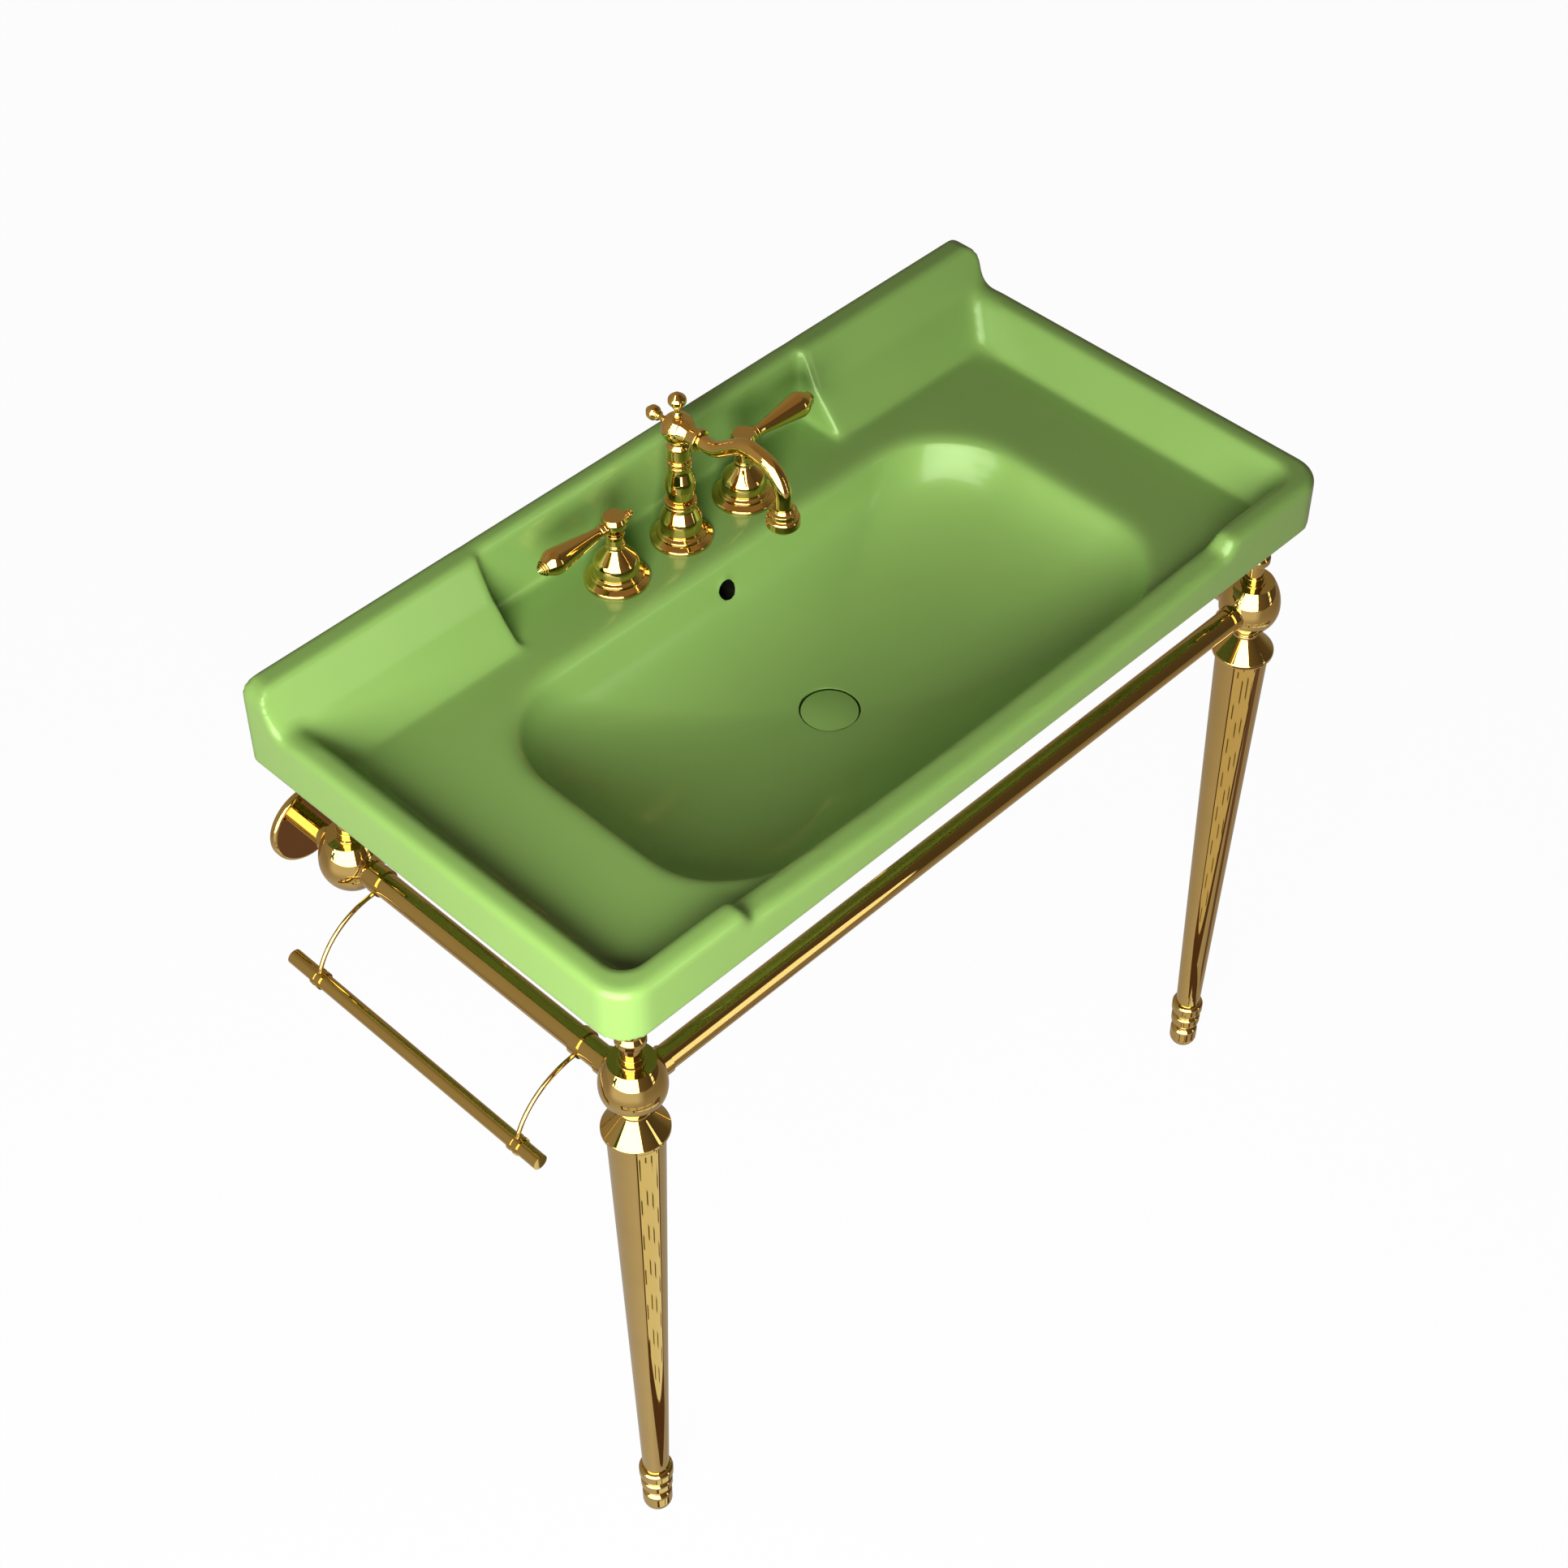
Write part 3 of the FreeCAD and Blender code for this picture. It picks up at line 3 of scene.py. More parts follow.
import bpy
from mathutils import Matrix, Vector


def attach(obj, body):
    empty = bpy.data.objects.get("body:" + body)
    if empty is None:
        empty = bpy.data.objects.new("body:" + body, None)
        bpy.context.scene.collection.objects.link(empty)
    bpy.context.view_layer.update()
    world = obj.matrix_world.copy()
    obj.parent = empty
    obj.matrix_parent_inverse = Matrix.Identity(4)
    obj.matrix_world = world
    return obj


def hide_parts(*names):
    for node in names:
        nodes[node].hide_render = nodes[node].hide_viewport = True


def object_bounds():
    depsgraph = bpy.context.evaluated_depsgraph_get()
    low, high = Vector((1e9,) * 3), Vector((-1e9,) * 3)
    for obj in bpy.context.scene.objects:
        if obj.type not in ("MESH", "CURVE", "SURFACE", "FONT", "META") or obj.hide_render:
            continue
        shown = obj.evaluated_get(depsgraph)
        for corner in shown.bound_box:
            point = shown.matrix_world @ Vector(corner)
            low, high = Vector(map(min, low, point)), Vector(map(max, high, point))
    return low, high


# Console sink with legs: green glazed basin, polished brass legs, rails, towel bar and taps.
# Metres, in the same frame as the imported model: +Z up, +Y into the wall, +X to the right.

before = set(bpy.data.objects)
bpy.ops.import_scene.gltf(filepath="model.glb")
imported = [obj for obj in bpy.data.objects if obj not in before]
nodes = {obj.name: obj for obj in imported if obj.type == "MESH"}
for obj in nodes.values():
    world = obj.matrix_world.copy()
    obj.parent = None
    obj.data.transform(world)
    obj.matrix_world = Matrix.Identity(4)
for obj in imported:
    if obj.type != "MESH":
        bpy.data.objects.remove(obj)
cad_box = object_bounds()
floor_z = cad_box[0][2]

# ---------------------------------------------------------------- sizes
tray_z = 0.047              # the tray's floor
bowl_middle_y = -0.30175
bowl_half_length = 0.3295
bowl_half_width = 0.17025
bowl_corner_r = 0.100

drain_y = -0.286
drain_fill_r = 0.034        # closes the drain while the basin is remeshed
drain_fill_z = (-0.090, -0.0572)
drain_recess_r = 0.0316
drain_recess_z = (-0.0635, -0.040)
drain_hole_r = 0.0225
drain_hole_z = (-0.100, -0.060)
cap_edge_r = 0.0303         # the painted shade in the gap round the drain cap begins here
cap_gap_z = -0.0578

overflow_z = 0.015
overflow_r = 0.0102
overflow_fill_r = 0.0110    # closes the overflow hole meanwhile
overflow_fill_y = (-0.1375, -0.1270)
overflow_bore_y = (-0.160, -0.1190)
passage_wall_y = -0.1392    # bowl wall at the hole's axis, just under the glaze
passage_wall_slope = 0.53
passage_end_y = -0.118

lip_z = 0.042               # middle of the bowl's rolled lip
lip_reach = 0.034
front_foot_y = -0.455       # foot of the front rim

# lines on the right half that the glaze softens: their two ends
rear_corner = ((0.4475, -0.084, tray_z), (0.470, -0.047, 0.095))
shoulder_edge = ((0.226, -0.084, 0.050), (0.226, -0.024, 0.133))
shoulder_seam = ((0.226, -0.021, 0.050), (0.226, -0.021, 0.133))
front_nose = ((0.340, -0.515, 0.084), (0.340, -0.478, 0.080))

voxel = 0.0030
share_kept = 0.36           # of the remeshed faces
underside_z = -0.066        # flat faces below this are thinned most
smooth_angle = 35           # degrees; sharper edges stay crisp


# ---------------------------------------------------------------- material helpers
def new_material(name):
    """An empty node material with its principled shader, ready for detail."""
    material = bpy.data.materials.new(name)
    material.use_nodes = True
    shader = material.node_tree.nodes["Principled BSDF"]
    return material, material.node_tree, shader


def object_noise(tree, scale, detail=3.0, roughness=0.5, stretch=(1, 1, 1)):
    """Noise that stays on the piece, in metres of the frame."""
    coordinates = tree.nodes.new("ShaderNodeTexCoord")
    mapping = tree.nodes.new("ShaderNodeMapping")
    mapping.inputs["Scale"].default_value = stretch
    noise = tree.nodes.new("ShaderNodeTexNoise")
    noise.inputs["Scale"].default_value = scale
    noise.inputs["Detail"].default_value = detail
    noise.inputs["Roughness"].default_value = roughness
    tree.links.new(coordinates.outputs["Object"], mapping.inputs["Vector"])
    tree.links.new(mapping.outputs["Vector"], noise.inputs["Vector"])
    return noise.outputs["Fac"]


def ramp(tree, value, stops):
    """Colours blended along a value; stops are (place, colour)."""
    node = tree.nodes.new("ShaderNodeValToRGB")
    elements = node.color_ramp.elements
    while len(elements) < len(stops):
        elements.new(0.5)
    for element, (place, colour) in zip(elements, stops):
        element.position = place
        element.color = (*colour, 1)
    tree.links.new(value, node.inputs["Fac"])
    return node.outputs["Color"]


def two_tone(tree, value, dark, light):
    """A noise value as a blend of two colours."""
    return ramp(tree, value, [(0.3, dark), (0.7, light)])


def spread(tree, value, low, high):
    """A noise value spread between two numbers."""
    node = tree.nodes.new("ShaderNodeMapRange")
    node.inputs["From Min"].default_value = 0.3
    node.inputs["From Max"].default_value = 0.7
    node.inputs["To Min"].default_value = low
    node.inputs["To Max"].default_value = high
    tree.links.new(value, node.inputs["Value"])
    return node.outputs["Result"]


def bump(tree, shader, height, strength, depth):
    """Fine relief from a height value."""
    node = tree.nodes.new("ShaderNodeBump")
    node.inputs["Strength"].default_value = strength
    node.inputs["Distance"].default_value = depth
    tree.links.new(height, node.inputs["Height"])
    tree.links.new(node.outputs["Normal"], shader.inputs["Normal"])


def math_node(tree, operation, first, second=0.0):
    """One sum on two values; each may be a number or an output."""
    node = tree.nodes.new("ShaderNodeMath")
    node.operation = operation
    for socket, value in zip(node.inputs, (first, second)):
        if isinstance(value, (int, float)):
            socket.default_value = value
        else:
            tree.links.new(value, socket)
    return node.outputs["Value"]


def times(tree, first, *others):
    """The product of some values; of masks, 1 where all are 1."""
    product = first
    for value in others:
        product = math_node(tree, "MULTIPLY", product, value)
    return product


def between(tree, value, low, high):
    """1 where a value lies between two numbers."""
    above = math_node(tree, "GREATER_THAN", value, low)
    return times(tree, above, math_node(tree, "LESS_THAN", value, high))


def fade(tree, value, none, full):
    """0 at one value, 1 at the other, eased between them."""
    node = tree.nodes.new("ShaderNodeMapRange")
    node.interpolation_type = "SMOOTHSTEP"
    node.inputs["From Min"].default_value = none
    node.inputs["From Max"].default_value = full
    tree.links.new(value, node.inputs["Value"])
    return node.outputs["Result"]


def length(tree, first, second):
    """Length of two sides taken at right angles."""
    squares = math_node(tree, "ADD", times(tree, first, first), times(tree, second, second))
    return math_node(tree, "SQRT", squares)


def blend_colour(tree, share, under, over, kind="MIX"):
    """Colour over laid on colour under by a share; each may be a colour or an output."""
    node = tree.nodes.new("ShaderNodeMix")
    node.data_type = "RGBA"
    node.blend_type = kind
    for key, value in (("Factor", share), ("A", under), ("B", over)):
        socket = node.inputs[key]
        if isinstance(value, tuple):
            socket.default_value = (*value, 1)
        elif isinstance(value, float):
            socket.default_value = value
        else:
            tree.links.new(value, socket)
    return node.outputs["Result"]


# ---------------------------------------------------------------- materials
def place_on_piece(tree):
    """The shaded point's x, y and z in the frame."""
    place = tree.nodes.new("ShaderNodeSeparateXYZ")
    tree.links.new(tree.nodes.new("ShaderNodeTexCoord").outputs["Object"], place.inputs["Vector"])
    return place.outputs["X"], place.outputs["Y"], place.outputs["Z"]


def overflow_painted_shade(tree):
    """1 in the passage behind the overflow hole, where its shade is painted near-black, 0 on the glaze."""
    x, y, z = place_on_piece(tree)
    height = math_node(tree, "SUBTRACT", z, overflow_z)
    near = math_node(tree, "LESS_THAN", length(tree, x, height), overflow_r + 0.0006)
    wall = math_node(tree, "ADD", times(tree, height, passage_wall_slope), passage_wall_y)
    return times(tree, near, math_node(tree, "GREATER_THAN", y, wall),
                 math_node(tree, "LESS_THAN", y, passage_end_y))


def drain_gap_painted_shade(tree):
    """1 in the narrow gap round the drain's cap, where its shade is painted dark green, 0 elsewhere."""
    x, y, z = place_on_piece(tree)
    away = length(tree, x, math_node(tree, "SUBTRACT", y, drain_y))
    return times(tree, between(tree, away, cap_edge_r, drain_recess_r + 0.0004),
                 math_node(tree, "LESS_THAN", z, cap_gap_z))


def green_glaze():
    """Fired glaze: even green with a slight pooling of tone, satin gloss and a faint ripple, with painted
    shade in the overflow's passage and in the gap round the drain cap.
    """
    material, tree, shader = new_material("green_glaze")
    colour = two_tone(tree, object_noise(tree, 5.0, 4.0), (0.228, 0.398, 0.094), (0.246, 0.425, 0.102))
    # painted shade: the overflow's passage is painted near-black
    colour = blend_colour(tree, overflow_painted_shade(tree), colour, (0.004, 0.004, 0.003))
    # painted shade: the gap round the drain cap is painted dark green
    colour = blend_colour(tree, drain_gap_painted_shade(tree), colour, (0.018, 0.030, 0.008))
    tree.links.new(colour, shader.inputs["Base Color"])
    tree.links.new(spread(tree, object_noise(tree, 18.0), 0.30, 0.36), shader.inputs["Roughness"])
    shader.inputs["Specular IOR Level"].default_value = 0.4
    shader.inputs["Coat Weight"].default_value = 0.35
    shader.inputs["Coat Roughness"].default_value = 0.12
    bump(tree, shader, object_noise(tree, 28.0, 2.0), 0.12, 0.0004)
    return material


def brass(name, light, dark, smooth, rough):
    """Polished metal with a faint tone change and hairlines from buffing."""
    material, tree, shader = new_material(name)
    shader.inputs["Metallic"].default_value = 1.0
    tree.links.new(two_tone(tree, object_noise(tree, 22.0, 3.0), dark, light), shader.inputs["Base Color"])
    wear = object_noise(tree, 60.0, 4.0, 0.6)
    tree.links.new(spread(tree, wear, smooth, rough), shader.inputs["Roughness"])
    hairlines = object_noise(tree, 700.0, 2.0, 0.5, (1, 1, 0.08))
    bump(tree, shader, hairlines, 0.003, 0.00002)
    return material


def rubber():
    """Matt black rubber with a fine grain."""
    material, tree, shader = new_material("black_rubber")
    tone = object_noise(tree, 90.0, 5.0)
    colour = two_tone(tree, tone, (0.018, 0.018, 0.019), (0.03, 0.03, 0.032))
    tree.links.new(colour, shader.inputs["Base Color"])
    tree.links.new(spread(tree, tone, 0.62, 0.75), shader.inputs["Roughness"])
    bump(tree, shader, object_noise(tree, 800.0), 0.2, 0.0002)
    return material


def plain_steel():
    """Zinc-grey steel of the hidden fixings."""
    material, tree, shader = new_material("plain_steel")
    shader.inputs["Metallic"].default_value = 1.0
    tone = object_noise(tree, 50.0, 4.0)
    colour = two_tone(tree, tone, (0.44, 0.45, 0.46), (0.56, 0.57, 0.58))
    tree.links.new(colour, shader.inputs["Base Color"])
    tree.links.new(spread(tree, tone, 0.28, 0.42), shader.inputs["Roughness"])
    return material


polished = brass("polished_brass", (0.62, 0.445, 0.16), (0.59, 0.42, 0.145), 0.006, 0.016)
tap_gold = brass("tap_gold", (0.74, 0.50, 0.17), (0.70, 0.46, 0.15), 0.012, 0.026)
raw = brass("raw_brass", (0.66, 0.50, 0.24), (0.56, 0.42, 0.20), 0.22, 0.36)
copper = brass("copper_pipe", (0.80, 0.42, 0.27), (0.70, 0.34, 0.21), 0.18, 0.30)
glaze = green_glaze()
black_rubber = rubber()
steel = plain_steel()

named_finishes = (
    (glaze, ("basin", "drain_cap")),
    (black_rubber, ("support_pads", "deck_washers", "waste_gasket")),
    (steel, ("frame_studs", "wall_plates")),
    (raw, ("left_valve_body", "right_valve_body", "spout_shank", "deck_nuts", "waste_nut", "waste_body",
           "left_valve_stem", "right_valve_stem", "drain_cap_stem", "tailpiece")),
    (copper, ("mixing_pipes",)))
tap_words = ("spout_base", "spout_column", "spout_head", "spout_tube", "aerator", "finial",
             "handle_base", "handle_hub", "lever")
finish_of = {name: polished for name in nodes}
for finish, names in named_finishes:
    for name in names:
        finish_of[name] = finish
for name in nodes:
    if any(word in name for word in tap_words):
        finish_of[name] = tap_gold
for name, piece in nodes.items():
    piece.data.materials.clear()
    piece.data.materials.append(finish_of[name])


# ---------------------------------------------------------------- basin with its glaze-soft edges
def only(piece):
    """Makes one piece the whole selection."""
    bpy.ops.object.select_all(action="DESELECT")
    piece.select_set(True)
    bpy.context.view_layer.objects.active = piece


def whole_mesh(piece):
    """Opens a piece in edit mode with everything selected."""
    only(piece)
    bpy.ops.object.mode_set(mode="EDIT")
    bpy.ops.mesh.select_all(action="SELECT")


def copy_of(name, new_name):
    """The node's shape as a new mesh with its loose triangles joined."""
    piece = bpy.data.objects.new(new_name, nodes[name].data.copy())
    bpy.context.collection.objects.link(piece)
    whole_mesh(piece)
    bpy.ops.mesh.remove_doubles(threshold=0.00001)
    bpy.ops.object.mode_set(mode="OBJECT")
    return piece


def apply(piece, kind, **settings):
    """Adds a modifier with its settings and applies it."""
    modifier = piece.modifiers.new(kind.lower(), kind)
    for key, value in settings.items():
        setattr(modifier, key, value)
    only(piece)
    bpy.ops.object.modifier_apply(modifier=modifier.name)


def rod(name, radius, low, high):
    """A round rod between two points, to close a hole or to bore one."""
    middle = (Vector(low) + Vector(high)) / 2
    span = Vector(high) - Vector(low)
    bpy.ops.mesh.primitive_cylinder_add(vertices=96, radius=radius, depth=span.length, location=middle,
                                        rotation=span.to_track_quat("Z", "Y").to_euler())
    piece = bpy.context.object
    piece.name = name
    bpy.ops.object.transform_apply(location=True, rotation=True, scale=True)
    return piece


def drain_rod(name, radius, reach):
    """An upright rod on the drain's axis."""
    return rod(name, radius, *[(0, drain_y, z) for z in reach])


def overflow_rod(name, radius, reach):
    """A level rod on the overflow hole's axis."""
    return rod(name, radius, *[(0, y, overflow_z) for y in reach])


def cut_away(piece, cutter):
    """Takes a cutter's shape out of a piece."""
    apply(piece, "BOOLEAN", operation="DIFFERENCE", object=cutter, solver="EXACT")
    bpy.data.objects.remove(cutter)


def soften(piece, rounds, weight_at):
    """Relaxes the surface where weight_at(point) is above zero."""
    group = piece.vertex_groups.new(name="soft")
    for vertex in piece.data.vertices:
        weight = weight_at(vertex.co)
        if weight > 0.01:
            group.add([vertex.index], min(1.0, weight), "REPLACE")
    apply(piece, "SMOOTH", factor=0.5, iterations=rounds, vertex_group="soft")
    piece.vertex_groups.remove(piece.vertex_groups["soft"])


def along_line(point, start, end):
    """Distance from a point to a line segment."""
    start, end = Vector(start), Vector(end)
    span = end - start
    share = max(0.0, min(1.0, (point - start).dot(span) / span.length_squared))
    return (point - start - span * share).length


def to_the_right(point):
    """The point's mirror image on the basin's right half."""
    return Vector((abs(point.x), point.y, point.z))


def near_rear_corner(point):
    """Above 0 round the corner between the upstand and a side rim."""
    return 1.6 - along_line(to_the_right(point), *rear_corner) / 0.022


def near_shoulder_end(point):
    """Above 0 on the front edge and the rear seam of a shoulder's end."""
    spot = to_the_right(point)
    return 1.5 - min(along_line(spot, *shoulder_edge), along_line(spot, *shoulder_seam)) / 0.016


def near_nose(point):
    """Above 0 where the front rim drops to its lowered middle."""
    return 1.5 - along_line(to_the_right(point), *front_nose) / 0.022


def near_bowl_lip(point):
    """Above 0 near the bowl's rounded outline, less along the front rim's foot and at the overflow."""
    if point.z <= -0.010:
        return 0.0
    along = abs(point.x) - (bowl_half_length - bowl_corner_r)
    across = abs(point.y - bowl_middle_y) - (bowl_half_width - bowl_corner_r)
    inside = min(max(along, across), 0.0)
    beyond = math.hypot(max(along, 0.0), max(across, 0.0)) + inside - bowl_corner_r
    share = max(0.15, min(1.0, (point.y - front_foot_y) / 0.06))
    if point.y > -0.20:
        from_hole = math.hypot(point.x, point.z - overflow_z)
        share = min(share, max(0.0, (from_hole - 0.013) / 0.014))
    return share * (1.4 - math.hypot(beyond, point.z - lip_z) / lip_reach)


def plain_sides(piece):
    """Weights for the thinning: 1 on the flat undersides and outer faces, 0.25 where the glaze curves."""
    group = piece.vertex_groups.new(name="plain")
    for vertex in piece.data.vertices:
        curved = vertex.normal.z > -0.2 and vertex.co.z > underside_z
        group.add([vertex.index], 0.25 if curved else 1.0, "REPLACE")


def glazed_basin():
    """The basin with every edge and valley run soft, as the glaze leaves them."""
    piece = copy_of("basin", "glazed_basin")
    fills = [drain_rod("drain_fill", drain_fill_r, drain_fill_z),
             overflow_rod("overflow_fill", overflow_fill_r, overflow_fill_y)]
    only(piece)
    for fill in fills:
        fill.select_set(True)
    bpy.ops.object.join()
    apply(piece, "REMESH", mode="VOXEL", voxel_size=voxel)
    for rounds, weight_at in ((3, lambda point: 1.0), (70, near_rear_corner), (16, near_shoulder_end),
                              (14, near_nose), (90, near_bowl_lip)):
        soften(piece, rounds, weight_at)
    plain_sides(piece)
    apply(piece, "DECIMATE", ratio=share_kept, vertex_group="plain", vertex_group_factor=4.0)
    cut_away(piece, overflow_rod("overflow", overflow_r, overflow_bore_y))
    cut_away(piece, drain_rod("drain_recess", drain_recess_r, drain_recess_z))
    cut_away(piece, drain_rod("drain_hole", drain_hole_r, drain_hole_z))
    whole_mesh(piece)
    bpy.ops.mesh.dissolve_degenerate(threshold=0.00005)
    bpy.ops.mesh.quads_convert_to_tris(quad_method="BEAUTY", ngon_method="BEAUTY")
    bpy.ops.object.mode_set(mode="OBJECT")
    return piece


# ---------------------------------------------------------------- room
# Directions in the room are given as turn and rise, in degrees: turn 0 is the camera's side of
# the sink and grows to the viewer's right, rise 0 is the horizon.
camera_turn = 136.15
window_turns = (-62, 22)
window_rises = (-12.5, 56)
side_window_turns = (69, 77)
side_window_rises = (-14, 24)
ground_rise = -14.0         # the walls end and the ground begins
daylight_rise = -12.0       # daylight on the floor begins under this
chest_turns = (70, 92)
chest_rises = (-51, -44)
near_border, side_border, far_border = 1.2, 6, 0.5      # of the carpets

# each carpet: turn of its middle, rise of its near edge, curve of that edge, turns of its sides,
# rise of its far edge, colour
near_carpet = (47, -60.4, 0.0006, 5, 95, -52, (1.04, 1.02, 0.82))
far_carpet = (-5, -51.0, 0.0011, -31, 78, -43, (0.79, 0.68, 0.47))

wall_tones = [(0.0, (0.30, 0.24, 0.15)), (0.17, (0.38, 0.30, 0.19)), (0.30, (0.46, 0.39, 0.28)),
              (0.565, (0.21, 0.15, 0.09)), (0.70, (0.10, 0.075, 0.045)), (0.81, (0.13, 0.10, 0.06)),
              (0.87, (0.29, 0.23, 0.14)), (1.0, (0.30, 0.24, 0.15))]
ground_tones = [(0.05, (0.60, 0.57, 0.57)), (0.17, (0.74, 0.70, 0.66)), (0.26, (0.62, 0.55, 0.48)),
                (0.36, (0.48, 0.41, 0.34))]
ground_light = [(0.0, (0.62, 0.62, 0.62)), (0.25, (0.8, 0.78, 0.76)), (0.46, (1.0, 0.98, 0.95)),
                (0.60, (0.8, 0.78, 0.72)), (0.8, (0.60, 0.56, 0.50)), (1.0, (0.62, 0.62, 0.62))]


# the soft lamp in the window's direction
lamp_direction = (-145, 22)     # degrees from +X and above the horizon
lamp_distance, lamp_width, lamp_height = 2.2, 1.3, 1.15
lamp_power = 87                 # watts
lamp_aim_y = -0.25             # the lamp aims at the basin's middle


def towards(azimuth, elevation):
    """Unit vector for a compass angle from +X and a height above the horizon, in degrees."""
    turn, rise = math.radians(azimuth), math.radians(elevation)
    return Vector((math.cos(rise) * math.cos(turn), math.cos(rise) * math.sin(turn), math.sin(rise)))


def turn_and_rise(tree, direction):
    """A direction's two angles in the room."""
    turned = tree.nodes.new("ShaderNodeMapping")
    turned.inputs["Rotation"].default_value = (0, 0, math.radians(camera_turn))
    tree.links.new(direction, turned.inputs["Vector"])
    split = tree.nodes.new("ShaderNodeSeparateXYZ")
    tree.links.new(turned.outputs["Vector"], split.inputs["Vector"])
    turn = math_node(tree, "ARCTAN2", split.outputs["Y"], split.outputs["X"])
    rise = math_node(tree, "ARCSINE", split.outputs["Z"])
    return times(tree, turn, 180 / math.pi), times(tree, rise, 180 / math.pi)


def share_of(tree, angle, whole):
    """An angle as a place from 0 to 1 in a range that is centred on 0 degrees."""
    share = math_node(tree, "MULTIPLY_ADD", angle, 1 / whole)
    share.node.inputs[2].default_value = 0.5
    return share


def patch(tree, turn, rise, turns, rises):
    """1 in a rectangle of directions."""
    return times(tree, between(tree, turn, *turns), between(tree, rise, *rises))


def walls_and_ground(tree, turn, rise):
    """Wood-toned walls, a dim ceiling and a paler floor with daylight in front of the window."""
    around = share_of(tree, turn, 360)
    walls = ramp(tree, around, wall_tones)
    ground = ramp(tree, share_of(tree, rise, 180), ground_tones)
    ground = blend_colour(tree, 1.0, ground, ramp(tree, around, ground_light), "MULTIPLY")
    seen = blend_colour(tree, math_node(tree, "LESS_THAN", rise, ground_rise), walls, ground)
    daylight = times(tree, fade(tree, turn, -78, -50), fade(tree, turn, 40, 12), fade(tree, rise, -42, -26),
                     math_node(tree, "LESS_THAN", rise, daylight_rise), 0.8)
    seen = blend_colour(tree, daylight, seen, (1.0, 0.94, 0.86))
    return blend_colour(tree, fade(tree, rise, 48, 66), seen, (0.30, 0.20, 0.10))


def windows(tree, direction, turn, rise, seen):
    """The bright window with leaves outside its left side, and a small paned one to the right."""
    window = patch(tree, turn, rise, window_turns, window_rises)
    seen = blend_colour(tree, window, seen, (6.0, 6.0, 5.8))
    leaves = tree.nodes.new("ShaderNodeTexNoise")
    leaves.inputs["Scale"].default_value = 7.0
    leaves.inputs["Detail"].default_value = 5.0
    tree.links.new(direction, leaves.inputs["Vector"])
    thick = math_node(tree, "SUBTRACT", leaves.outputs["Fac"], times(tree, turn, 0.006))
    foliage = times(tree, window, math_node(tree, "GREATER_THAN", thick, 0.84))
    seen = blend_colour(tree, foliage, seen, (0.09, 0.13, 0.03))
    side_window = patch(tree, turn, rise, side_window_turns, side_window_rises)
    panes = between(tree, math_node(tree, "PINGPONG", rise, 5.0), 1.0, 9.0)
    return blend_colour(tree, times(tree, side_window, panes), seen, (2.2, 2.1, 1.8))


def carpet(tree, turn, rise, middle, tip, curve, left, right, top):
    """1 on a carpet that ends below in an arc about its middle, between two turns and under a top rise."""
    aside = math_node(tree, "SUBTRACT", turn, middle)
    arc = math_node(tree, "ADD", times(tree, aside, aside, curve), tip)
    return times(tree, math_node(tree, "GREATER_THAN", rise, arc), math_node(tree, "LESS_THAN", rise, top),
                 between(tree, turn, left, right))


def woven_dashes(tree, turn, rise):
    """Short dashes in columns 25 degrees apart, each column shifted by its own amount."""
    column = math_node(tree, "DIVIDE", turn, 25.0)
    shift = tree.nodes.new("ShaderNodeTexWhiteNoise")
    shift.noise_dimensions = "1D"
    tree.links.new(math_node(tree, "FLOOR", column), shift.inputs["W"])
    step = math_node(tree, "ADD", times(tree, rise, 1.5), shift.outputs["Value"])
    return times(tree, between(tree, math_node(tree, "FRACT", column), 0.35, 0.60),
                 math_node(tree, "LESS_THAN", math_node(tree, "FRACT", step), 0.42))


def carpets(tree, turn, rise, seen):
    """Lighter carpets on the floor, with a dark brown edge and short woven dashes."""
    dashes = woven_dashes(tree, turn, rise)
    for middle, tip, curve, left, right, top, tone in (near_carpet, far_carpet):
        edge = carpet(tree, turn, rise, middle, tip - near_border, curve,
                      left - side_border, right + side_border, top + far_border)
        weave = carpet(tree, turn, rise, middle, tip, curve, left, right, top)
        seen = blend_colour(tree, edge, seen, (0.12, 0.06, 0.035))
        seen = blend_colour(tree, weave, seen, tone)
        seen = blend_colour(tree, times(tree, weave, dashes), seen, (0.18, 0.14, 0.06))
    return seen


def room():
    """World: white to the eye, a wooden room with a bright window to the metal, a dim grey to the rest."""
    world = bpy.data.worlds.new("room")
    bpy.context.scene.world = world
    world.use_nodes = True
    tree = world.node_tree
    direction = tree.nodes.new("ShaderNodeTexCoord").outputs["Generated"]
    turn, rise = turn_and_rise(tree, direction)
    seen = walls_and_ground(tree, turn, rise)
    seen = windows(tree, direction, turn, rise, seen)
    seen = carpets(tree, turn, rise, seen)
    seen = blend_colour(tree, patch(tree, turn, rise, chest_turns, chest_rises), seen, (0.18, 0.10, 0.09))

    path = tree.nodes.new("ShaderNodeLightPath")
    first_look = math_node(tree, "LESS_THAN", path.outputs["Diffuse Depth"], 0.5)
    mirrored = times(tree, path.outputs["Is Glossy Ray"], first_look)
    lit = blend_colour(tree, mirrored, (0.035, 0.033, 0.030), seen)
    tree.links.new(blend_colour(tree, path.outputs["Is Camera Ray"], lit, (1.0, 1.0, 1.0)),
                   tree.nodes["Background"].inputs["Color"])


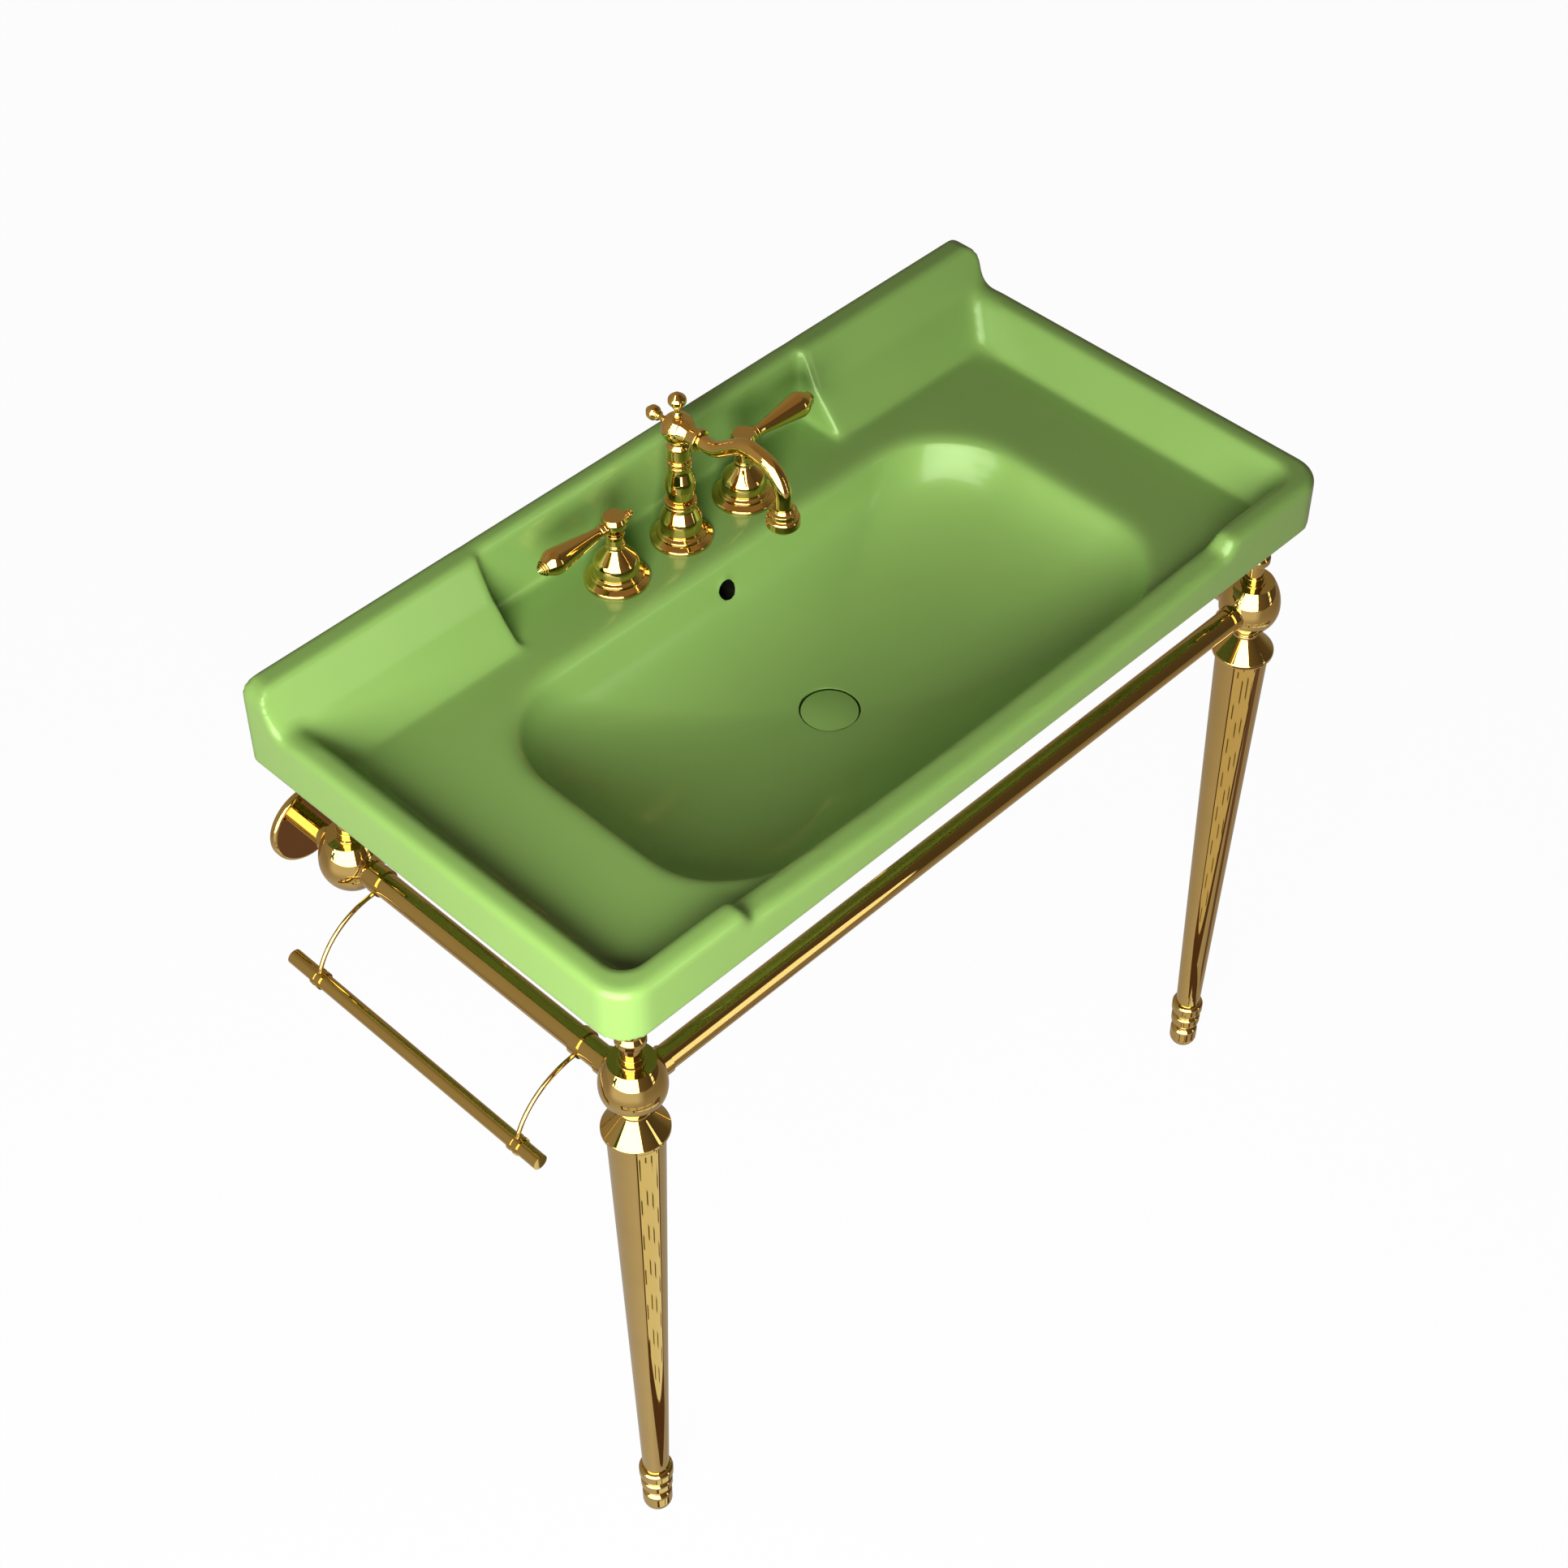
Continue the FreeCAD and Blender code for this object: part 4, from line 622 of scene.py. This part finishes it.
def floor_material():
    """Pale floor: white to the eye with the sink's shadow kept."""
    material, tree, shader = new_material("pale_floor")
    shader.inputs["Base Color"].default_value = (0.80, 0.78, 0.74, 1)
    shader.inputs["Roughness"].default_value = 0.9
    glow = tree.nodes.new("ShaderNodeEmission")
    glow.inputs["Color"].default_value = (1, 1, 1, 1)
    glow.inputs["Strength"].default_value = 1.0
    path = tree.nodes.new("ShaderNodeLightPath")
    direct = math_node(tree, "MAXIMUM", path.outputs["Is Camera Ray"], path.outputs["Is Glossy Ray"])
    direct = math_node(tree, "MAXIMUM", direct, path.outputs["Is Transmission Ray"])
    mix = tree.nodes.new("ShaderNodeMixShader")
    tree.links.new(times(tree, direct, 0.97), mix.inputs["Fac"])
    tree.links.new(shader.outputs["BSDF"], mix.inputs[1])
    tree.links.new(glow.outputs["Emission"], mix.inputs[2])
    tree.links.new(mix.outputs["Shader"], tree.nodes["Material Output"].inputs["Surface"])
    return material


def floor():
    """A wide plain floor just under the feet."""
    bpy.ops.mesh.primitive_plane_add(size=16, location=(0, 0, floor_z - 0.0005))
    plane = bpy.context.object
    plane.name = "floor"
    bpy.ops.object.transform_apply(location=True, rotation=True, scale=True)
    plane.data.materials.append(floor_material())
    plane.visible_glossy = False


def window_light():
    """The window's soft light on the basin; the painted window gives its reflection."""
    lamp = bpy.data.lights.new("window_light", "AREA")
    lamp.shape = "RECTANGLE"
    lamp.size, lamp.size_y = lamp_width, lamp_height
    lamp.energy = lamp_power
    piece = bpy.data.objects.new("window_light", lamp)
    away = towards(*lamp_direction)
    piece.location = Vector((0, lamp_aim_y, 0)) + away * lamp_distance
    piece.rotation_euler = (-away).to_track_quat("-Z", "Y").to_euler()
    piece.visible_glossy = False
    bpy.context.collection.objects.link(piece)


def camera():
    """The photograph's viewing angle, 45.9 degrees downward from the front left."""
    lens = bpy.data.cameras.new("camera")
    lens.lens = 66.71
    lens.sensor_width = 36
    piece = bpy.data.objects.new("camera", lens)
    piece.location = (-1.53769, -1.72731, 2.01056)
    piece.rotation_euler = (math.radians(90 - 45.92), 0, math.radians(-45.59))
    bpy.context.collection.objects.link(piece)
    bpy.context.scene.camera = piece


basin = glazed_basin()
basin.data.materials.clear()
basin.data.materials.append(glaze)
only(basin)
bpy.ops.object.shade_smooth_by_angle(angle=math.radians(smooth_angle))
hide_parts("basin")
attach(basin, "sink")

floor()
room()
camera()
window_light()

bpy.context.scene.view_settings.view_transform = "Standard"
bpy.context.view_layer.update()
